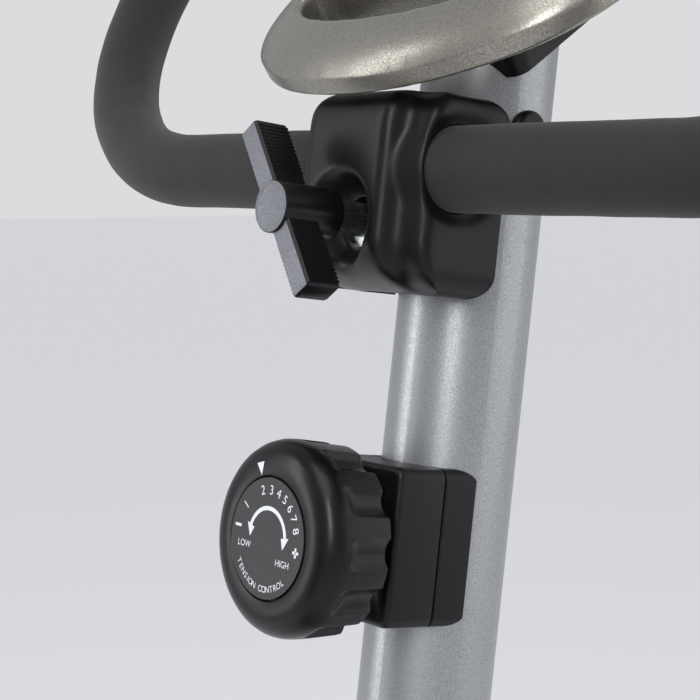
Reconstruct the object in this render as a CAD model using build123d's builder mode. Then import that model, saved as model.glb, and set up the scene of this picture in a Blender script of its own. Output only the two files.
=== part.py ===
"""Upright exercise bike with a belt drive and a magnetic brake, built as separate parts.

Millimetres. +X is the way the rider faces, +Y the rider's left, +Z up. The origin is on
the floor, under the middle of the feet.
"""

import os
from math import asin, cos, degrees, hypot, radians, sin, tan

from build123d import *

os.makedirs("parts", exist_ok=True)

# ---------------------------------------------------------------- driving sizes
# Base
base_length = 940.0
foot_radius = 30.0
stabiliser_radius = 25.0
stabiliser_half = 235.0
foot_cap_length = 32.0
tube_wall = 2.0
spine_radius = 30.0
bolt_radius = 4.0
bolt_spacing = 84.0
saddle_plate = 4.0
transport_wheel_radius = 24.0
transport_wheel_width = 16.0
wheel_lead = 12.0

# Drive
crank_x = -30.0
crank_z = 310.0
crank_length = 170.0
axle_radius = 10.0
bracket_radius = 24.0
bracket_half = 32.0
flywheel_x = 300.0
flywheel_z = 270.0
flywheel_radius = 110.0
flywheel_width = 30.0
drive_pulley_radius = 115.0
flywheel_pulley_radius = 19.0
belt_y = -43.0
belt_width = 12.0
belt_thickness = 4.0
magnet_gap = 8.0
shroud_half = 70.0
shroud_wall = 3.0

# Seat
mast_lean = 15.0
mast_radius = 28.5
mast_top = 262.0
seat_post_radius = 22.5
seat_post_top = 490.0
seat_post_length = 330.0
seat_rail_length = 170.0
seat_rail_width = 38.0
seat_rail_height = 22.0
saddle_length = 262.0
saddle_width = 232.0

# Handlebar post and clamp; distances along the post are from the clamp bolt
clamp_x = 240.0
clamp_z = 1030.0
post_lean = 7.54
post_radius = 25.0
post_top = 74.0
post_bottom = -530.0
spigot_length = 120.0
bar_radius = 12.7
bar_back = 40.0
bar_up = 19.6
bar_straight = 131.0
bar_bend = 125.0
bar_plane_lean = 35.0
foam_radius = 15.25
bolt_hole_radius = 9.0
cover_width = 72.0
cover_low = -24.5
cover_high = 46.0
cover_back = 64.0
cover_open = 20.0
cover_wall = 3.0
tee_length = 68.6
tee_width = 9.5
tee_turn = 36.0
tee_boss_radius = 9.1
tee_boss_length = 24.5
tee_face = 92.6

# Tension control
tension_down = 113.7
housing_width = 48.0
housing_height = 57.0
housing_depth = 40.3
housing_split = 21.6
knob_radius = 35.0
knob_back = 52.0
knob_face = 80.6
dial_radius = 21.0
knob_lobes = 12

# Console
console_tilt = 33.0
console_back = -60.0
console_up = 50.0
console_corner = 70.0
console_sag = 22.0
console_half = 90.0
console_height = 186.0
console_thickness = 28.0
console_bar = 22.0

clearance = 0.3
running = 0.05

# ---------------------------------------------------------------- planes and helpers
front_foot_x = base_length / 2 - foot_radius - wheel_lead / 2
rear_foot_x = foot_radius - base_length / 2
spine_length = front_foot_x - rear_foot_x + 44
spine_z = foot_radius + stabiliser_radius + spine_radius
seat_post_bottom = seat_post_top - seat_post_length

mast_up = Vector(-sin(radians(mast_lean)), 0, cos(radians(mast_lean)))
post_up = Vector(sin(radians(post_lean)), 0, cos(radians(post_lean)))
to_rider = Vector(-cos(radians(post_lean)), 0, sin(radians(post_lean)))
clamp_point = Vector(clamp_x, 0, clamp_z)
crank_point = Vector(crank_x, 0, crank_z)
flywheel_point = Vector(flywheel_x, 0, flywheel_z)


def post_plane(along, back=0.0):
    """A plane square to the handlebar post. Local X points forward and Y to the left."""
    origin = clamp_point + post_up * along + to_rider * back
    return Plane(origin=origin, x_dir=-to_rider, z_dir=post_up)


def rider_plane(along, back):
    """A plane that faces the rider. Local X is the rider's right, Y up the post."""
    origin = clamp_point + post_up * along + to_rider * back
    return Plane(origin=origin, x_dir=(0, -1, 0), z_dir=to_rider)


def mast_plane(along):
    """A plane square to the seat mast. Local X points forward and Y to the left."""
    forward = Vector(cos(radians(mast_lean)), 0, sin(radians(mast_lean)))
    return Plane(origin=crank_point + mast_up * along, x_dir=forward, z_dir=mast_up)


def side_plane(y, at=Vector(0, 0, 0)):
    """A plane that faces the left side, at that y. Local X points back and Y up."""
    return Plane(origin=(at.X, y, at.Z), x_dir=(-1, 0, 0), z_dir=(0, 1, 0))


def floor_plane(x, y, z):
    return Plane(origin=(x, y, z), x_dir=(1, 0, 0), z_dir=(0, 0, 1))


def clamp_side(y=0.0):
    """A plane that faces the left side, in line with the post. X to the rider, Y up the post."""
    return Plane(origin=clamp_point + Vector(0, y, 0), x_dir=to_rider, z_dir=(0, 1, 0))


def mast_rear(along, back):
    """A plane that faces the rear, square to the seat mast. Local X points right."""
    out = Vector(-cos(radians(mast_lean)), 0, -sin(radians(mast_lean)))
    origin = crank_point + mast_up * along + out * back
    return Plane(origin=origin, x_dir=(0, -1, 0), z_dir=out)


def console_plane(out=0.0):
    """A plane in line with the console's face. Local X is the rider's right, Y up the face."""
    face = Vector(-sin(radians(console_tilt)), 0, cos(radians(console_tilt)))
    origin = clamp_point + Vector(console_back, 0, console_up) + face * out
    return Plane(origin=origin, x_dir=(0, -1, 0), z_dir=face)


def post_point(y, along, back):
    """A point given by its side offset, its distance up the post and its distance back."""
    return clamp_point + Vector(0, y, 0) + post_up * along + to_rider * back


def save(piece, name):
    """Labels a finished piece and writes it as its own file."""
    piece.part.label = name
    export_step(piece.part, f"parts/{name}.step")


def cylinder_y(x, z, radius, y_from, y_to, mode=Mode.ADD):
    """A cylinder along Y in the part that is being built."""
    with Locations(Location((x, (y_from + y_to) / 2, z), (90, 0, 0))):
        Cylinder(radius, abs(y_to - y_from), mode=mode)


# ---------------------------------------------------------------- base
foot_xs = [rear_foot_x, front_foot_x]
bolt_ys = [-bolt_spacing / 2, bolt_spacing / 2]
post_foot_gap = (clamp_z - spine_z) / post_up.Z

# The weldment: spine, seat mast, stem, bottom bracket, flywheel fork and foot saddles.
fork_left = 31.0
fork_right = -62.0
fork_plate = 5.0
fork_half = 40.0
fork_floor = spine_z + spine_radius - 4
fork_floor_top = fork_floor + 8
axle_slot_radius = 5.2
pivot_x = 212.0
pivot_z = 372.0
pivot_radius = 4.0
pivot_half = 8.0
stem_radius = post_radius
spigot_radius = post_radius - tube_wall - 0.2
saddle_width_y = bolt_spacing + 26
saddle_outer = stabiliser_radius + saddle_plate

post_bolt_at = (post_bottom + 50, post_bottom + 85)
seat_screw_at = mast_top - 24
seat_screw_radius = 5.0
cable_y = 9.5
cable_low = clamp_point + Vector(0, cable_y, 0) - post_up * 562 + to_rider * 6
cable_end = Vector(pivot_x - 17, cable_y, pivot_z + 14.5)
cable_radius = 1.6
cable_drum = clamp_point + Vector(0, 13.7, 0) - post_up * 104 + to_rider * 33
cable_corner = cable_drum - post_up * 18
cable_top = clamp_point + Vector(0, cable_y, 0) - post_up * 150 + to_rider * 6

with BuildPart() as main_frame:
    with BuildSketch(Plane.YZ.offset(rear_foot_x - 22)):
        with Locations((0, spine_z)):
            Circle(spine_radius)
    extrude(amount=spine_length)
    with BuildSketch(mast_plane(-(crank_z - spine_z) / mast_up.Z)):
        Circle(mast_radius)
    extrude(amount=mast_top + (crank_z - spine_z) / mast_up.Z)
    with BuildSketch(post_plane(-post_foot_gap)):
        Circle(stem_radius)
    extrude(amount=post_foot_gap + post_bottom)
    with BuildSketch(post_plane(post_bottom)):
        Circle(spigot_radius)
    extrude(amount=spigot_length)
    cylinder_y(crank_x, crank_z, bracket_radius, -bracket_half, bracket_half)
    for foot_x in foot_xs:
        cylinder_y(foot_x, foot_radius, saddle_outer, -saddle_width_y / 2, saddle_width_y / 2)
        with BuildSketch(floor_plane(foot_x, 0, foot_radius - 12)):
            Rectangle(2 * saddle_outer + 2, saddle_width_y + 2)
        extrude(amount=-40, mode=Mode.SUBTRACT)
    with BuildSketch(floor_plane(flywheel_x, (fork_left + fork_right) / 2, fork_floor)):
        Rectangle(2 * fork_half, fork_left - fork_right)
    extrude(amount=fork_floor_top - fork_floor)
    for plate_y in (fork_left - fork_plate, fork_right):
        with BuildSketch(side_plane(plate_y, Vector(flywheel_x, 0, flywheel_z))):
            with BuildLine():
                Polyline(
                    (-fork_half, fork_floor - flywheel_z),
                    (fork_half, fork_floor - flywheel_z),
                    (20, 0),
                    (20, 14),
                    (-20, 14),
                    (-20, 0),
                    close=True,
                )
            make_face()
        extrude(amount=fork_plate)
    # Lug on the stem for the brake arm's pivot
    with BuildSketch(side_plane(-pivot_half, Vector(pivot_x, 0, pivot_z))):
        Circle(9)
        with Locations((22, -6)):
            Rectangle(44, 18)
        with Locations((-9.5, -10.5)):
            Rectangle(19, 3)
    extrude(amount=2 * pivot_half)
    # Bores, and the holes for axle, bolts, pin and cable
    with BuildSketch(Plane.YZ.offset(rear_foot_x - 22 + 3)):
        with Locations((0, spine_z)):
            Circle(spine_radius - tube_wall)
    extrude(amount=spine_length - 6, mode=Mode.SUBTRACT)
    with BuildSketch(mast_plane(bracket_radius + 6)):
        Circle(mast_radius - tube_wall)
    extrude(amount=mast_top, mode=Mode.SUBTRACT)
    with BuildSketch(post_plane(-post_foot_gap + spine_radius + 6)):
        Circle(spigot_radius - tube_wall)
    extrude(amount=post_foot_gap, mode=Mode.SUBTRACT)
    cylinder_y(crank_x, crank_z, bracket_radius - 3, -60, 60, Mode.SUBTRACT)
    cylinder_y(flywheel_x, flywheel_z, axle_slot_radius, -80, 80, Mode.SUBTRACT)
    cylinder_y(pivot_x, pivot_z, pivot_radius + running, -20, 20, Mode.SUBTRACT)
    for foot_x in foot_xs:
        cylinder_y(foot_x, foot_radius, stabiliser_radius, -100, 100, Mode.SUBTRACT)
        with BuildSketch(floor_plane(foot_x, 0, 0)):
            with Locations(*[(0, y) for y in bolt_ys]):
                Circle(bolt_radius + 0.3)
        extrude(amount=90, mode=Mode.SUBTRACT)
    # Post bolts, seat screw and the way out for the brake cable
    for along in post_bolt_at:
        with BuildSketch(rider_plane(along, -60)):
            Circle(bolt_radius + 0.3)
        extrude(amount=120, mode=Mode.SUBTRACT)
    with BuildSketch(mast_rear(seat_screw_at, 20)):
        Circle(seat_screw_radius + 0.3)
    extrude(amount=20, mode=Mode.SUBTRACT)
    with BuildSketch(Plane(origin=cable_low, z_dir=cable_end - cable_low)):
        Circle(4.5)
    extrude(amount=(cable_end - cable_low).length - 12, mode=Mode.SUBTRACT)
save(main_frame, "main_frame")

for name, foot_x in (("rear_stabiliser", rear_foot_x), ("front_stabiliser", front_foot_x)):
    with BuildPart() as stabiliser:
        cylinder_y(foot_x, foot_radius, stabiliser_radius, -stabiliser_half, stabiliser_half)
        inner = stabiliser_radius - tube_wall
        cylinder_y(foot_x, foot_radius, inner, -300, 300, Mode.SUBTRACT)
        with BuildSketch(floor_plane(foot_x, 0, 0)):
            with Locations(*[(0, y) for y in bolt_ys]):
                Circle(bolt_radius + 0.3)
        extrude(amount=90, mode=Mode.SUBTRACT)
    save(stabiliser, name)

# Carriage bolts pass up through each stabiliser and its saddle.
nut_seat = foot_radius + saddle_outer
with BuildPart() as stabiliser_bolts:
    for foot_x in foot_xs:
        for y in bolt_ys:
            with BuildSketch(floor_plane(foot_x, y, foot_radius - stabiliser_radius - 3)):
                Circle(8)
            extrude(amount=3)
            with BuildSketch(floor_plane(foot_x, y, foot_radius - stabiliser_radius)):
                Circle(bolt_radius)
            extrude(amount=nut_seat + 7 - foot_radius + stabiliser_radius)
save(stabiliser_bolts, "stabiliser_bolts")

with BuildPart() as stabiliser_nuts:
    for foot_x in foot_xs:
        for y in bolt_ys:
            with BuildSketch(floor_plane(foot_x, y, nut_seat)):
                RegularPolygon(7.5, 6)
                Circle(bolt_radius, mode=Mode.SUBTRACT)
            extrude(amount=7)
            with BuildSketch(floor_plane(foot_x, y, nut_seat + 7)):
                Circle(6)
            extrude(amount=5, taper=35)
save(stabiliser_nuts, "stabiliser_nuts")

# Front end caps stand on flat soles and carry the transport wheels on short lugs.
sole_width = 26.0
sole_height = 6.0
wheel_x = front_foot_x + wheel_lead
wheel_z = foot_radius + 2.0
wheel_y = stabiliser_half + 4
cap_end = stabiliser_half + foot_cap_length

with BuildPart() as front_end_caps:
    for side in (-1, 1):
        inner_y = side * (stabiliser_half - 20)
        outer_y = side * cap_end
        low, high = sorted((inner_y, outer_y))
        cylinder_y(front_foot_x, foot_radius, foot_radius, low, high)
        with Locations((front_foot_x, (low + high) / 2, sole_height / 2)):
            Box(sole_width, high - low, sole_height)
        cut_low, cut_high = sorted((side * (stabiliser_half - 30), side * stabiliser_half))
        cylinder_y(front_foot_x, foot_radius, stabiliser_radius, cut_low, cut_high, Mode.SUBTRACT)
        gap_low, gap_high = sorted((side * wheel_y, side * (wheel_y + transport_wheel_width + 2)))
        cylinder_y(wheel_x, wheel_z, transport_wheel_radius + 2, gap_low, gap_high, Mode.SUBTRACT)
        cylinder_y(wheel_x, wheel_z, 4.0, gap_low, gap_high)
save(front_end_caps, "front_end_caps")

for name, side in (("transport_wheel_left", 1), ("transport_wheel_right", -1)):
    with BuildPart() as wheel:
        low, high = sorted((side * (wheel_y + 1), side * (wheel_y + 1 + transport_wheel_width)))
        cylinder_y(wheel_x, wheel_z, transport_wheel_radius, low, high)
        fillet(wheel.edges().filter_by(GeomType.CIRCLE), 2)
        cylinder_y(wheel_x, wheel_z, 4.0 + running, low - 1, high + 1, Mode.SUBTRACT)
    save(wheel, name)

# Rear end caps turn on the tube: the raised lobe levels the bike.
for name, side in (("rear_end_cap_left", 1), ("rear_end_cap_right", -1)):
    with BuildPart() as cap:
        low, high = sorted((side * (stabiliser_half - 20), side * cap_end))
        with BuildSketch(side_plane(low, Vector(rear_foot_x, 0, foot_radius))):
            Circle(foot_radius)
            with Locations((-3.0, 1.0)):
                Circle(foot_radius - 1.0)
        extrude(amount=high - low)
        cut_low, cut_high = sorted((side * (stabiliser_half - 30), side * (stabiliser_half + 0.3)))
        bore = stabiliser_radius + running
        cylinder_y(rear_foot_x, foot_radius, bore, cut_low, cut_high, Mode.SUBTRACT)
    save(cap, name)

# ---------------------------------------------------------------- drive
hub_face = belt_y + 8
cup_inner = bracket_half - 12

with BuildPart() as bearing_cups:
    for low, high in ((-bracket_half - 3, -cup_inner), (cup_inner, bracket_half + 3)):
        cylinder_y(crank_x, crank_z, bracket_radius - 3, low, high)
    cylinder_y(crank_x, crank_z, axle_radius + running, -60, 60, Mode.SUBTRACT)
save(bearing_cups, "bearing_cups")

arm_inner = shroud_half + shroud_wall + 5
arm_thickness = 14.0
axle_end = arm_inner + arm_thickness

with BuildPart() as crank_axle:
    cylinder_y(crank_x, crank_z, axle_radius, -arm_inner, arm_inner)
    for y_from, y_to in ((-axle_end - 8, -arm_inner), (arm_inner, axle_end + 8)):
        cylinder_y(crank_x, crank_z, 7.0, y_from, y_to)
save(crank_axle, "crank_axle")

with BuildPart() as drive_pulley:
    cylinder_y(crank_x, crank_z, drive_pulley_radius, belt_y - 7, belt_y + 7)
    with BuildSketch(side_plane(belt_y + 2.5, crank_point)):
        Circle(drive_pulley_radius - 9)
        Circle(28, mode=Mode.SUBTRACT)
    extrude(amount=10, mode=Mode.SUBTRACT)
    with BuildSketch(side_plane(belt_y - 2.5, crank_point)):
        Circle(drive_pulley_radius - 9)
        Circle(28, mode=Mode.SUBTRACT)
    extrude(amount=-10, mode=Mode.SUBTRACT)
    with BuildSketch(side_plane(belt_y - 10, crank_point)):
        with PolarLocations(68, 6):
            Circle(22)
        Circle(axle_radius)
    extrude(amount=20, mode=Mode.SUBTRACT)
save(drive_pulley, "drive_pulley")


def pulley_hull(margin):
    """The outline of a taut belt round both pulleys, that far outside them."""
    offset_x = crank_x - flywheel_x
    offset_z = crank_z - flywheel_z
    with BuildSketch(Plane.XY) as outline:
        with BuildSketch(mode=Mode.PRIVATE) as circles:
            Circle(flywheel_pulley_radius + margin)
            with Locations((-offset_x, offset_z)):
                Circle(drive_pulley_radius + margin)
        make_hull(circles.edges())
    return outline.sketch


with BuildPart() as drive_belt:
    with BuildSketch(side_plane(belt_y - belt_width / 2, flywheel_point)):
        add(pulley_hull(clearance + belt_thickness))
        add(pulley_hull(clearance), mode=Mode.SUBTRACT)
    extrude(amount=belt_width)
save(drive_belt, "drive_belt")

flywheel_low = -10.0
flywheel_high = flywheel_low + flywheel_width
hub_radius = 24.0
fly_axle_radius = 5.0
fly_bore = fly_axle_radius + running

with BuildPart() as flywheel:
    cylinder_y(flywheel_x, flywheel_z, flywheel_radius, flywheel_low, flywheel_high)
    chamfer(flywheel.edges().filter_by(GeomType.CIRCLE), 1.5)
    for face_y, depth in ((flywheel_high, -8), (flywheel_low, 8)):
        with BuildSketch(side_plane(face_y, flywheel_point)):
            Circle(flywheel_radius - 24)
            Circle(hub_radius, mode=Mode.SUBTRACT)
        extrude(amount=depth, mode=Mode.SUBTRACT)
    cylinder_y(flywheel_x, flywheel_z, flywheel_pulley_radius, belt_y - 8, flywheel_low + 10)
    cylinder_y(flywheel_x, flywheel_z, fly_bore, -80, 80, Mode.SUBTRACT)
save(flywheel, "flywheel")

with BuildPart() as flywheel_axle:
    cylinder_y(flywheel_x, flywheel_z, fly_axle_radius, fork_right - 5.5, fork_left + 9)
    for y_from, y_to in ((fork_right - 5.5, fork_right), (fork_left, fork_left + 7)):
        with BuildSketch(side_plane(y_from, flywheel_point)):
            RegularPolygon(9.2, 6)
        extrude(amount=y_to - y_from)
    spacers = ((fork_right + fork_plate, belt_y - 8.3), (flywheel_high + 0.3, fork_left - fork_plate))
    for y_from, y_to in spacers:
        cylinder_y(flywheel_x, flywheel_z, 8.0, y_from, y_to)
save(flywheel_axle, "flywheel_axle")

# The brake arm carries magnets over the flywheel rim and pivots on the stem's lug.
arc_start = 42.0
arc_sweep = 74.0
arc_inner = flywheel_radius + magnet_gap + 6
arc_outer = arc_inner + 4

with BuildPart() as magnet_bracket:
    with BuildSketch(side_plane(flywheel_low - 2, flywheel_point)):
        with BuildLine():
            a = CenterArc((0, 0), arc_outer, 180 - arc_start - arc_sweep, arc_sweep)
            b = CenterArc((0, 0), arc_inner, 180 - arc_start - arc_sweep, arc_sweep)
            Line(a @ 0, b @ 0)
            Line(a @ 1, b @ 1)
        make_face()
    extrude(amount=flywheel_width + 4)
    cheek_low = -pivot_half - 0.5
    for cheek_y in (cheek_low - 4, pivot_half + 0.5):
        with BuildSketch(side_plane(cheek_y, Vector(pivot_x, 0, pivot_z))):
            with BuildLine():
                Polyline((22, 6), (22, 14), (-4, 12), (-52, 22), (-52, 8), (-20, -8), (9, -8), close=True)
            make_face()
            Circle(pivot_radius, mode=Mode.SUBTRACT)
        extrude(amount=4)
    # Cross pieces for the cable, behind the pivot, and for the return spring, ahead of it
    with Locations((pivot_x - 17, 0, pivot_z + 10), (pivot_x + 14, 0, pivot_z + 6)):
        Box(8, 2 * pivot_half + 9, 5)
    cylinder_y(flywheel_x, flywheel_z, arc_inner, -40, 40, Mode.SUBTRACT)
    cylinder_y(pivot_x, pivot_z, pivot_radius, -pivot_half - 4.5, pivot_half + 4.5)
save(magnet_bracket, "magnet_bracket")

with BuildPart() as brake_magnets:
    with BuildSketch(side_plane(flywheel_low + 2, flywheel_point)):
        with PolarLocations(arc_inner - 3, 5, 180 - arc_start - arc_sweep + 8, 70):
            Rectangle(14, 12)
        Circle(arc_inner, mode=Mode.INTERSECT)
        Circle(arc_inner - 6, mode=Mode.SUBTRACT)
    extrude(amount=flywheel_width - 4)
save(brake_magnets, "brake_magnets")

# ---------------------------------------------------------------- cranks and pedals
pedal_gap = 8.0
pedal_width = 96.0
pedal_length = 92.0
pedal_height = 24.0
pedal_inner = axle_end + pedal_gap
pedal_outer = pedal_inner + pedal_width
spindle_radius = 6.0

for name, side in (("crank_right", -1), ("crank_left", 1)):
    pedal_x = crank_x - side * crank_length
    low, high = sorted((side * arm_inner, side * axle_end))
    with BuildPart() as crank:
        with BuildSketch(side_plane(low, crank_point)):
            with BuildSketch(mode=Mode.PRIVATE) as ends:
                Circle(19)
                with Locations((side * crank_length, 0)):
                    Circle(13)
            make_hull(ends.edges())
        extrude(amount=high - low)
        fillet(crank.edges().group_by(Axis.Y)[0 if side < 0 else -1], 3)
        cylinder_y(crank_x, crank_z, 7.0, low - 1, high + 1, Mode.SUBTRACT)
        cylinder_y(pedal_x, crank_z, spindle_radius, low - 1, high + 1, Mode.SUBTRACT)
    save(crank, name)

with BuildPart() as crank_nuts:
    for side in (-1, 1):
        low, high = sorted((side * axle_end, side * (axle_end + 9)))
        cylinder_y(crank_x, crank_z, 12, low, high)
        low, high = sorted((side * (axle_end - 1), side * (axle_end + 8)))
        cylinder_y(crank_x, crank_z, 7.0, low, high, Mode.SUBTRACT)
save(crank_nuts, "crank_nuts")

with BuildPart() as pedal_spindles:
    for side in (-1, 1):
        pedal_x = crank_x - side * crank_length
        low, high = sorted((side * arm_inner, side * (pedal_outer - 8)))
        cylinder_y(pedal_x, crank_z, spindle_radius, low, high)
        low, high = sorted((side * axle_end, side * (axle_end + 5)))
        cylinder_y(pedal_x, crank_z, 9, low, high)
save(pedal_spindles, "pedal_spindles")

for name, side in (("pedal_right", -1), ("pedal_left", 1)):
    pedal_x = crank_x - side * crank_length
    low, high = sorted((side * pedal_inner, side * pedal_outer))
    middle = (low + high) / 2
    with BuildPart() as pedal:
        with BuildSketch(floor_plane(pedal_x, middle, crank_z - pedal_height / 2)):
            RectangleRounded(pedal_length, pedal_width, 14)
        extrude(amount=pedal_height)
        fillet(pedal.edges().group_by(Axis.Z)[-1], 2.5)
        with BuildSketch(floor_plane(pedal_x, middle, crank_z + pedal_height / 2)):
            with GridLocations(0, 12, 1, 6):
                with Locations((27, 0), (-27, 0)):
                    Rectangle(22, 5)
        extrude(amount=-5, mode=Mode.SUBTRACT)
        inner_y, outer_y = side * (pedal_inner - 1), side * (pedal_outer - 6)
        bore = spindle_radius + running
        cylinder_y(pedal_x, crank_z, bore, inner_y, outer_y, Mode.SUBTRACT)
    save(pedal, name)

# Straps arch over each pedal and hold the foot.
strap_rise = 62.0
strap_thickness = 2.5
strap_width = 26.0
strap_half = pedal_width / 2 + 0.2

for name, side in (("pedal_strap_right", -1), ("pedal_strap_left", 1)):
    pedal_x = crank_x - side * crank_length
    middle = side * (pedal_inner + pedal_outer) / 2
    with BuildPart() as strap:
        with BuildSketch(Plane(origin=(pedal_x + 38, middle, crank_z), x_dir=(0, 1, 0), z_dir=(1, 0, 0))):
            with BuildLine() as arch:
                foot = Line((-strap_half, -9), (-strap_half, 14))
                ThreePointArc(foot @ 1, (0, strap_rise), (strap_half, 14))
                Line((strap_half, 14), (strap_half, -9))
                offset(amount=strap_thickness, side=Side.LEFT)
            make_face()
        extrude(amount=-strap_width)
    save(strap, name)

# ---------------------------------------------------------------- drive covers
crank_cover = 132.0
flywheel_cover = 140.0
cover_screws_at = [
    (crank_point, crank_cover - 3.5, angle) for angle in (75, 150, 215, 260)
] + [(flywheel_point, flywheel_cover - 3.5, angle) for angle in (20, -30)]


def cover_hull(margin):
    """The outline of the drive covers, that far outside their inner face."""
    with BuildSketch(Plane.XY) as outline:
        with BuildSketch(mode=Mode.PRIVATE) as circles:
            with Locations((-crank_x, crank_z)):
                Circle(crank_cover + margin)
            with Locations((-flywheel_x, flywheel_z)):
                Circle(flywheel_cover + margin)
        make_hull(circles.edges())
    return outline.sketch


for name, side in (("cover_right", -1), ("cover_left", 1)):
    low, high = sorted((0, side * (shroud_half + shroud_wall)))
    in_low, in_high = sorted((0, side * shroud_half))
    with BuildPart() as cover:
        with BuildSketch(side_plane(low)):
            add(cover_hull(shroud_wall))
        extrude(amount=high - low)
        fillet(cover.edges().group_by(Axis.Y)[0 if side < 0 else -1], 7)
        with BuildSketch(side_plane(in_low)):
            add(cover_hull(0))
        extrude(amount=in_high - in_low, mode=Mode.SUBTRACT)
        for centre, radius, angle in cover_screws_at:
            boss_x = centre.X + radius * cos(radians(angle))
            boss_z = centre.Z + radius * sin(radians(angle))
            cylinder_y(boss_x, boss_z, 5, low + (1 if side < 0 else 0), high - (0 if side < 0 else 1))
            cylinder_y(boss_x, boss_z, 2, -60, 80, Mode.SUBTRACT)
        cylinder_y(crank_x, crank_z, axle_radius + 4, -90, 90, Mode.SUBTRACT)
        with BuildSketch(mast_plane(-260)):
            Circle(mast_radius + 0.2)
        extrude(amount=560, mode=Mode.SUBTRACT)
        with BuildSketch(post_plane(-1000)):
            Circle(stem_radius + 0.2)
        extrude(amount=600, mode=Mode.SUBTRACT)
        with BuildSketch(floor_plane(flywheel_x, (fork_left + fork_right) / 2, 100)):
            Rectangle(2 * fork_half + 2, fork_left - fork_right + 2)
        extrude(amount=48, mode=Mode.SUBTRACT)
    save(cover, name)

cover_face = shroud_half + shroud_wall
with BuildPart() as cover_screws:
    for centre, radius, angle in cover_screws_at:
        boss_x = centre.X + radius * cos(radians(angle))
        boss_z = centre.Z + radius * sin(radians(angle))
        cylinder_y(boss_x, boss_z, 2, -30, cover_face)
        cylinder_y(boss_x, boss_z, 4.2, cover_face, cover_face + 2.4)
    fillet(cover_screws.edges().group_by(Axis.Y)[-1], 1.2)
save(cover_screws, "cover_screws")

# ---------------------------------------------------------------- seat
sleeve_radius = mast_radius - tube_wall
rail_low = 18.0
rail_point = crank_point + mast_up * seat_post_top
rail_z = rail_point.Z + rail_low

with BuildPart() as seat_sleeve:
    with BuildSketch(mast_plane(mast_top - 62)):
        Circle(sleeve_radius)
    extrude(amount=62)
    with BuildSketch(mast_plane(mast_top)):
        Circle(mast_radius + 3)
    extrude(amount=14)
    fillet(seat_sleeve.edges().group_by(Axis(crank_point, mast_up))[-1], 3)
    with BuildSketch(mast_plane(0)):
        Circle(seat_post_radius + running)
    extrude(amount=400, mode=Mode.SUBTRACT)
    with BuildSketch(mast_rear(seat_screw_at, 10)):
        Circle(seat_screw_radius + 0.3)
    extrude(amount=30, mode=Mode.SUBTRACT)
save(seat_sleeve, "seat_sleeve")

with BuildPart() as seat_post:
    with BuildSketch(mast_plane(seat_post_bottom)):
        Circle(seat_post_radius)
    extrude(amount=seat_post_length)
    with Locations((rail_point.X, 0, rail_z - 15)):
        Box(40, seat_rail_width - 16, 22)
    with Locations((rail_point.X, 0, rail_z + seat_rail_height / 2 - 6)):
        Box(seat_rail_length, seat_rail_width, seat_rail_height)
    with BuildSketch(mast_plane(seat_post_bottom)):
        Circle(seat_post_radius - tube_wall)
    extrude(amount=seat_post_length - 14, mode=Mode.SUBTRACT)
    with Locations((rail_point.X, 0, rail_z + seat_rail_height / 2 - 6)):
        Box(seat_rail_length - 6, seat_rail_width - 4, seat_rail_height - 4, mode=Mode.SUBTRACT)
save(seat_post, "seat_post")

# The screw of the height knob runs in a nut on the mast and presses on the seat post.
with BuildPart() as seat_height_nut:
    with BuildSketch(mast_rear(seat_screw_at, mast_radius - 1)):
        Circle(11)
    extrude(amount=9)
    with BuildSketch(mast_plane(mast_top - 60)):
        Circle(mast_radius)
    extrude(amount=60, mode=Mode.SUBTRACT)
    with BuildSketch(mast_rear(seat_screw_at, 10)):
        Circle(seat_screw_radius + running)
    extrude(amount=60, mode=Mode.SUBTRACT)
save(seat_height_nut, "seat_height_nut")

with BuildPart() as seat_height_knob:
    with BuildSketch(mast_rear(seat_screw_at, seat_post_radius + 0.1)):
        Circle(seat_screw_radius)
    extrude(amount=26)
    with BuildSketch(mast_rear(seat_screw_at, mast_radius + 9)):
        Circle(19)
        with PolarLocations(22.5, 8):
            Circle(5, mode=Mode.SUBTRACT)
    extrude(amount=24)
    fillet(seat_height_knob.edges().group_by(Axis(mast_rear(0, 0).origin, mast_rear(0, 0).z_dir))[-1], 2.5)
save(seat_height_knob, "seat_height_knob")

carriage_length = 84.0
carriage_wall = 4.0
carriage_z = rail_z + seat_rail_height - 6
carriage_top = carriage_z + carriage_wall
slide_fit = running
stub_height = 30.0
rail_centre_z = rail_z + seat_rail_height / 2 - 6

with BuildPart() as seat_carriage:
    with Locations((rail_point.X, 0, rail_centre_z)):
        Box(carriage_length, seat_rail_width + 2 * carriage_wall, seat_rail_height + 2 * carriage_wall)
    with BuildSketch(floor_plane(rail_point.X, 0, carriage_top)):
        Circle(12)
    extrude(amount=stub_height)
    tunnel_width = seat_rail_width + 2 * slide_fit
    tunnel_height = seat_rail_height + 2 * slide_fit
    with Locations((rail_point.X, 0, rail_centre_z)):
        Box(carriage_length + 2, tunnel_width, tunnel_height, mode=Mode.SUBTRACT)
    with Locations((rail_point.X, 0, rail_centre_z - 16)):
        Box(carriage_length + 2, seat_rail_width - 8, 16, mode=Mode.SUBTRACT)
    cylinder_y(rail_point.X, rail_centre_z, 5.05, 10, 40, Mode.SUBTRACT)
save(seat_carriage, "seat_carriage")

slider_face = seat_rail_width / 2 + carriage_wall + 1
with BuildPart() as seat_slider_knob:
    cylinder_y(rail_point.X, rail_centre_z, 5.0, seat_rail_width / 2 + 0.1, slider_face + 4)
    with BuildSketch(side_plane(slider_face, Vector(rail_point.X, 0, rail_centre_z))):
        Circle(17)
        with PolarLocations(20.5, 8):
            Circle(5, mode=Mode.SUBTRACT)
    extrude(amount=20)
    fillet(seat_slider_knob.edges().group_by(Axis.Y)[-1], 2.5)
save(seat_slider_knob, "seat_slider_knob")

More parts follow.
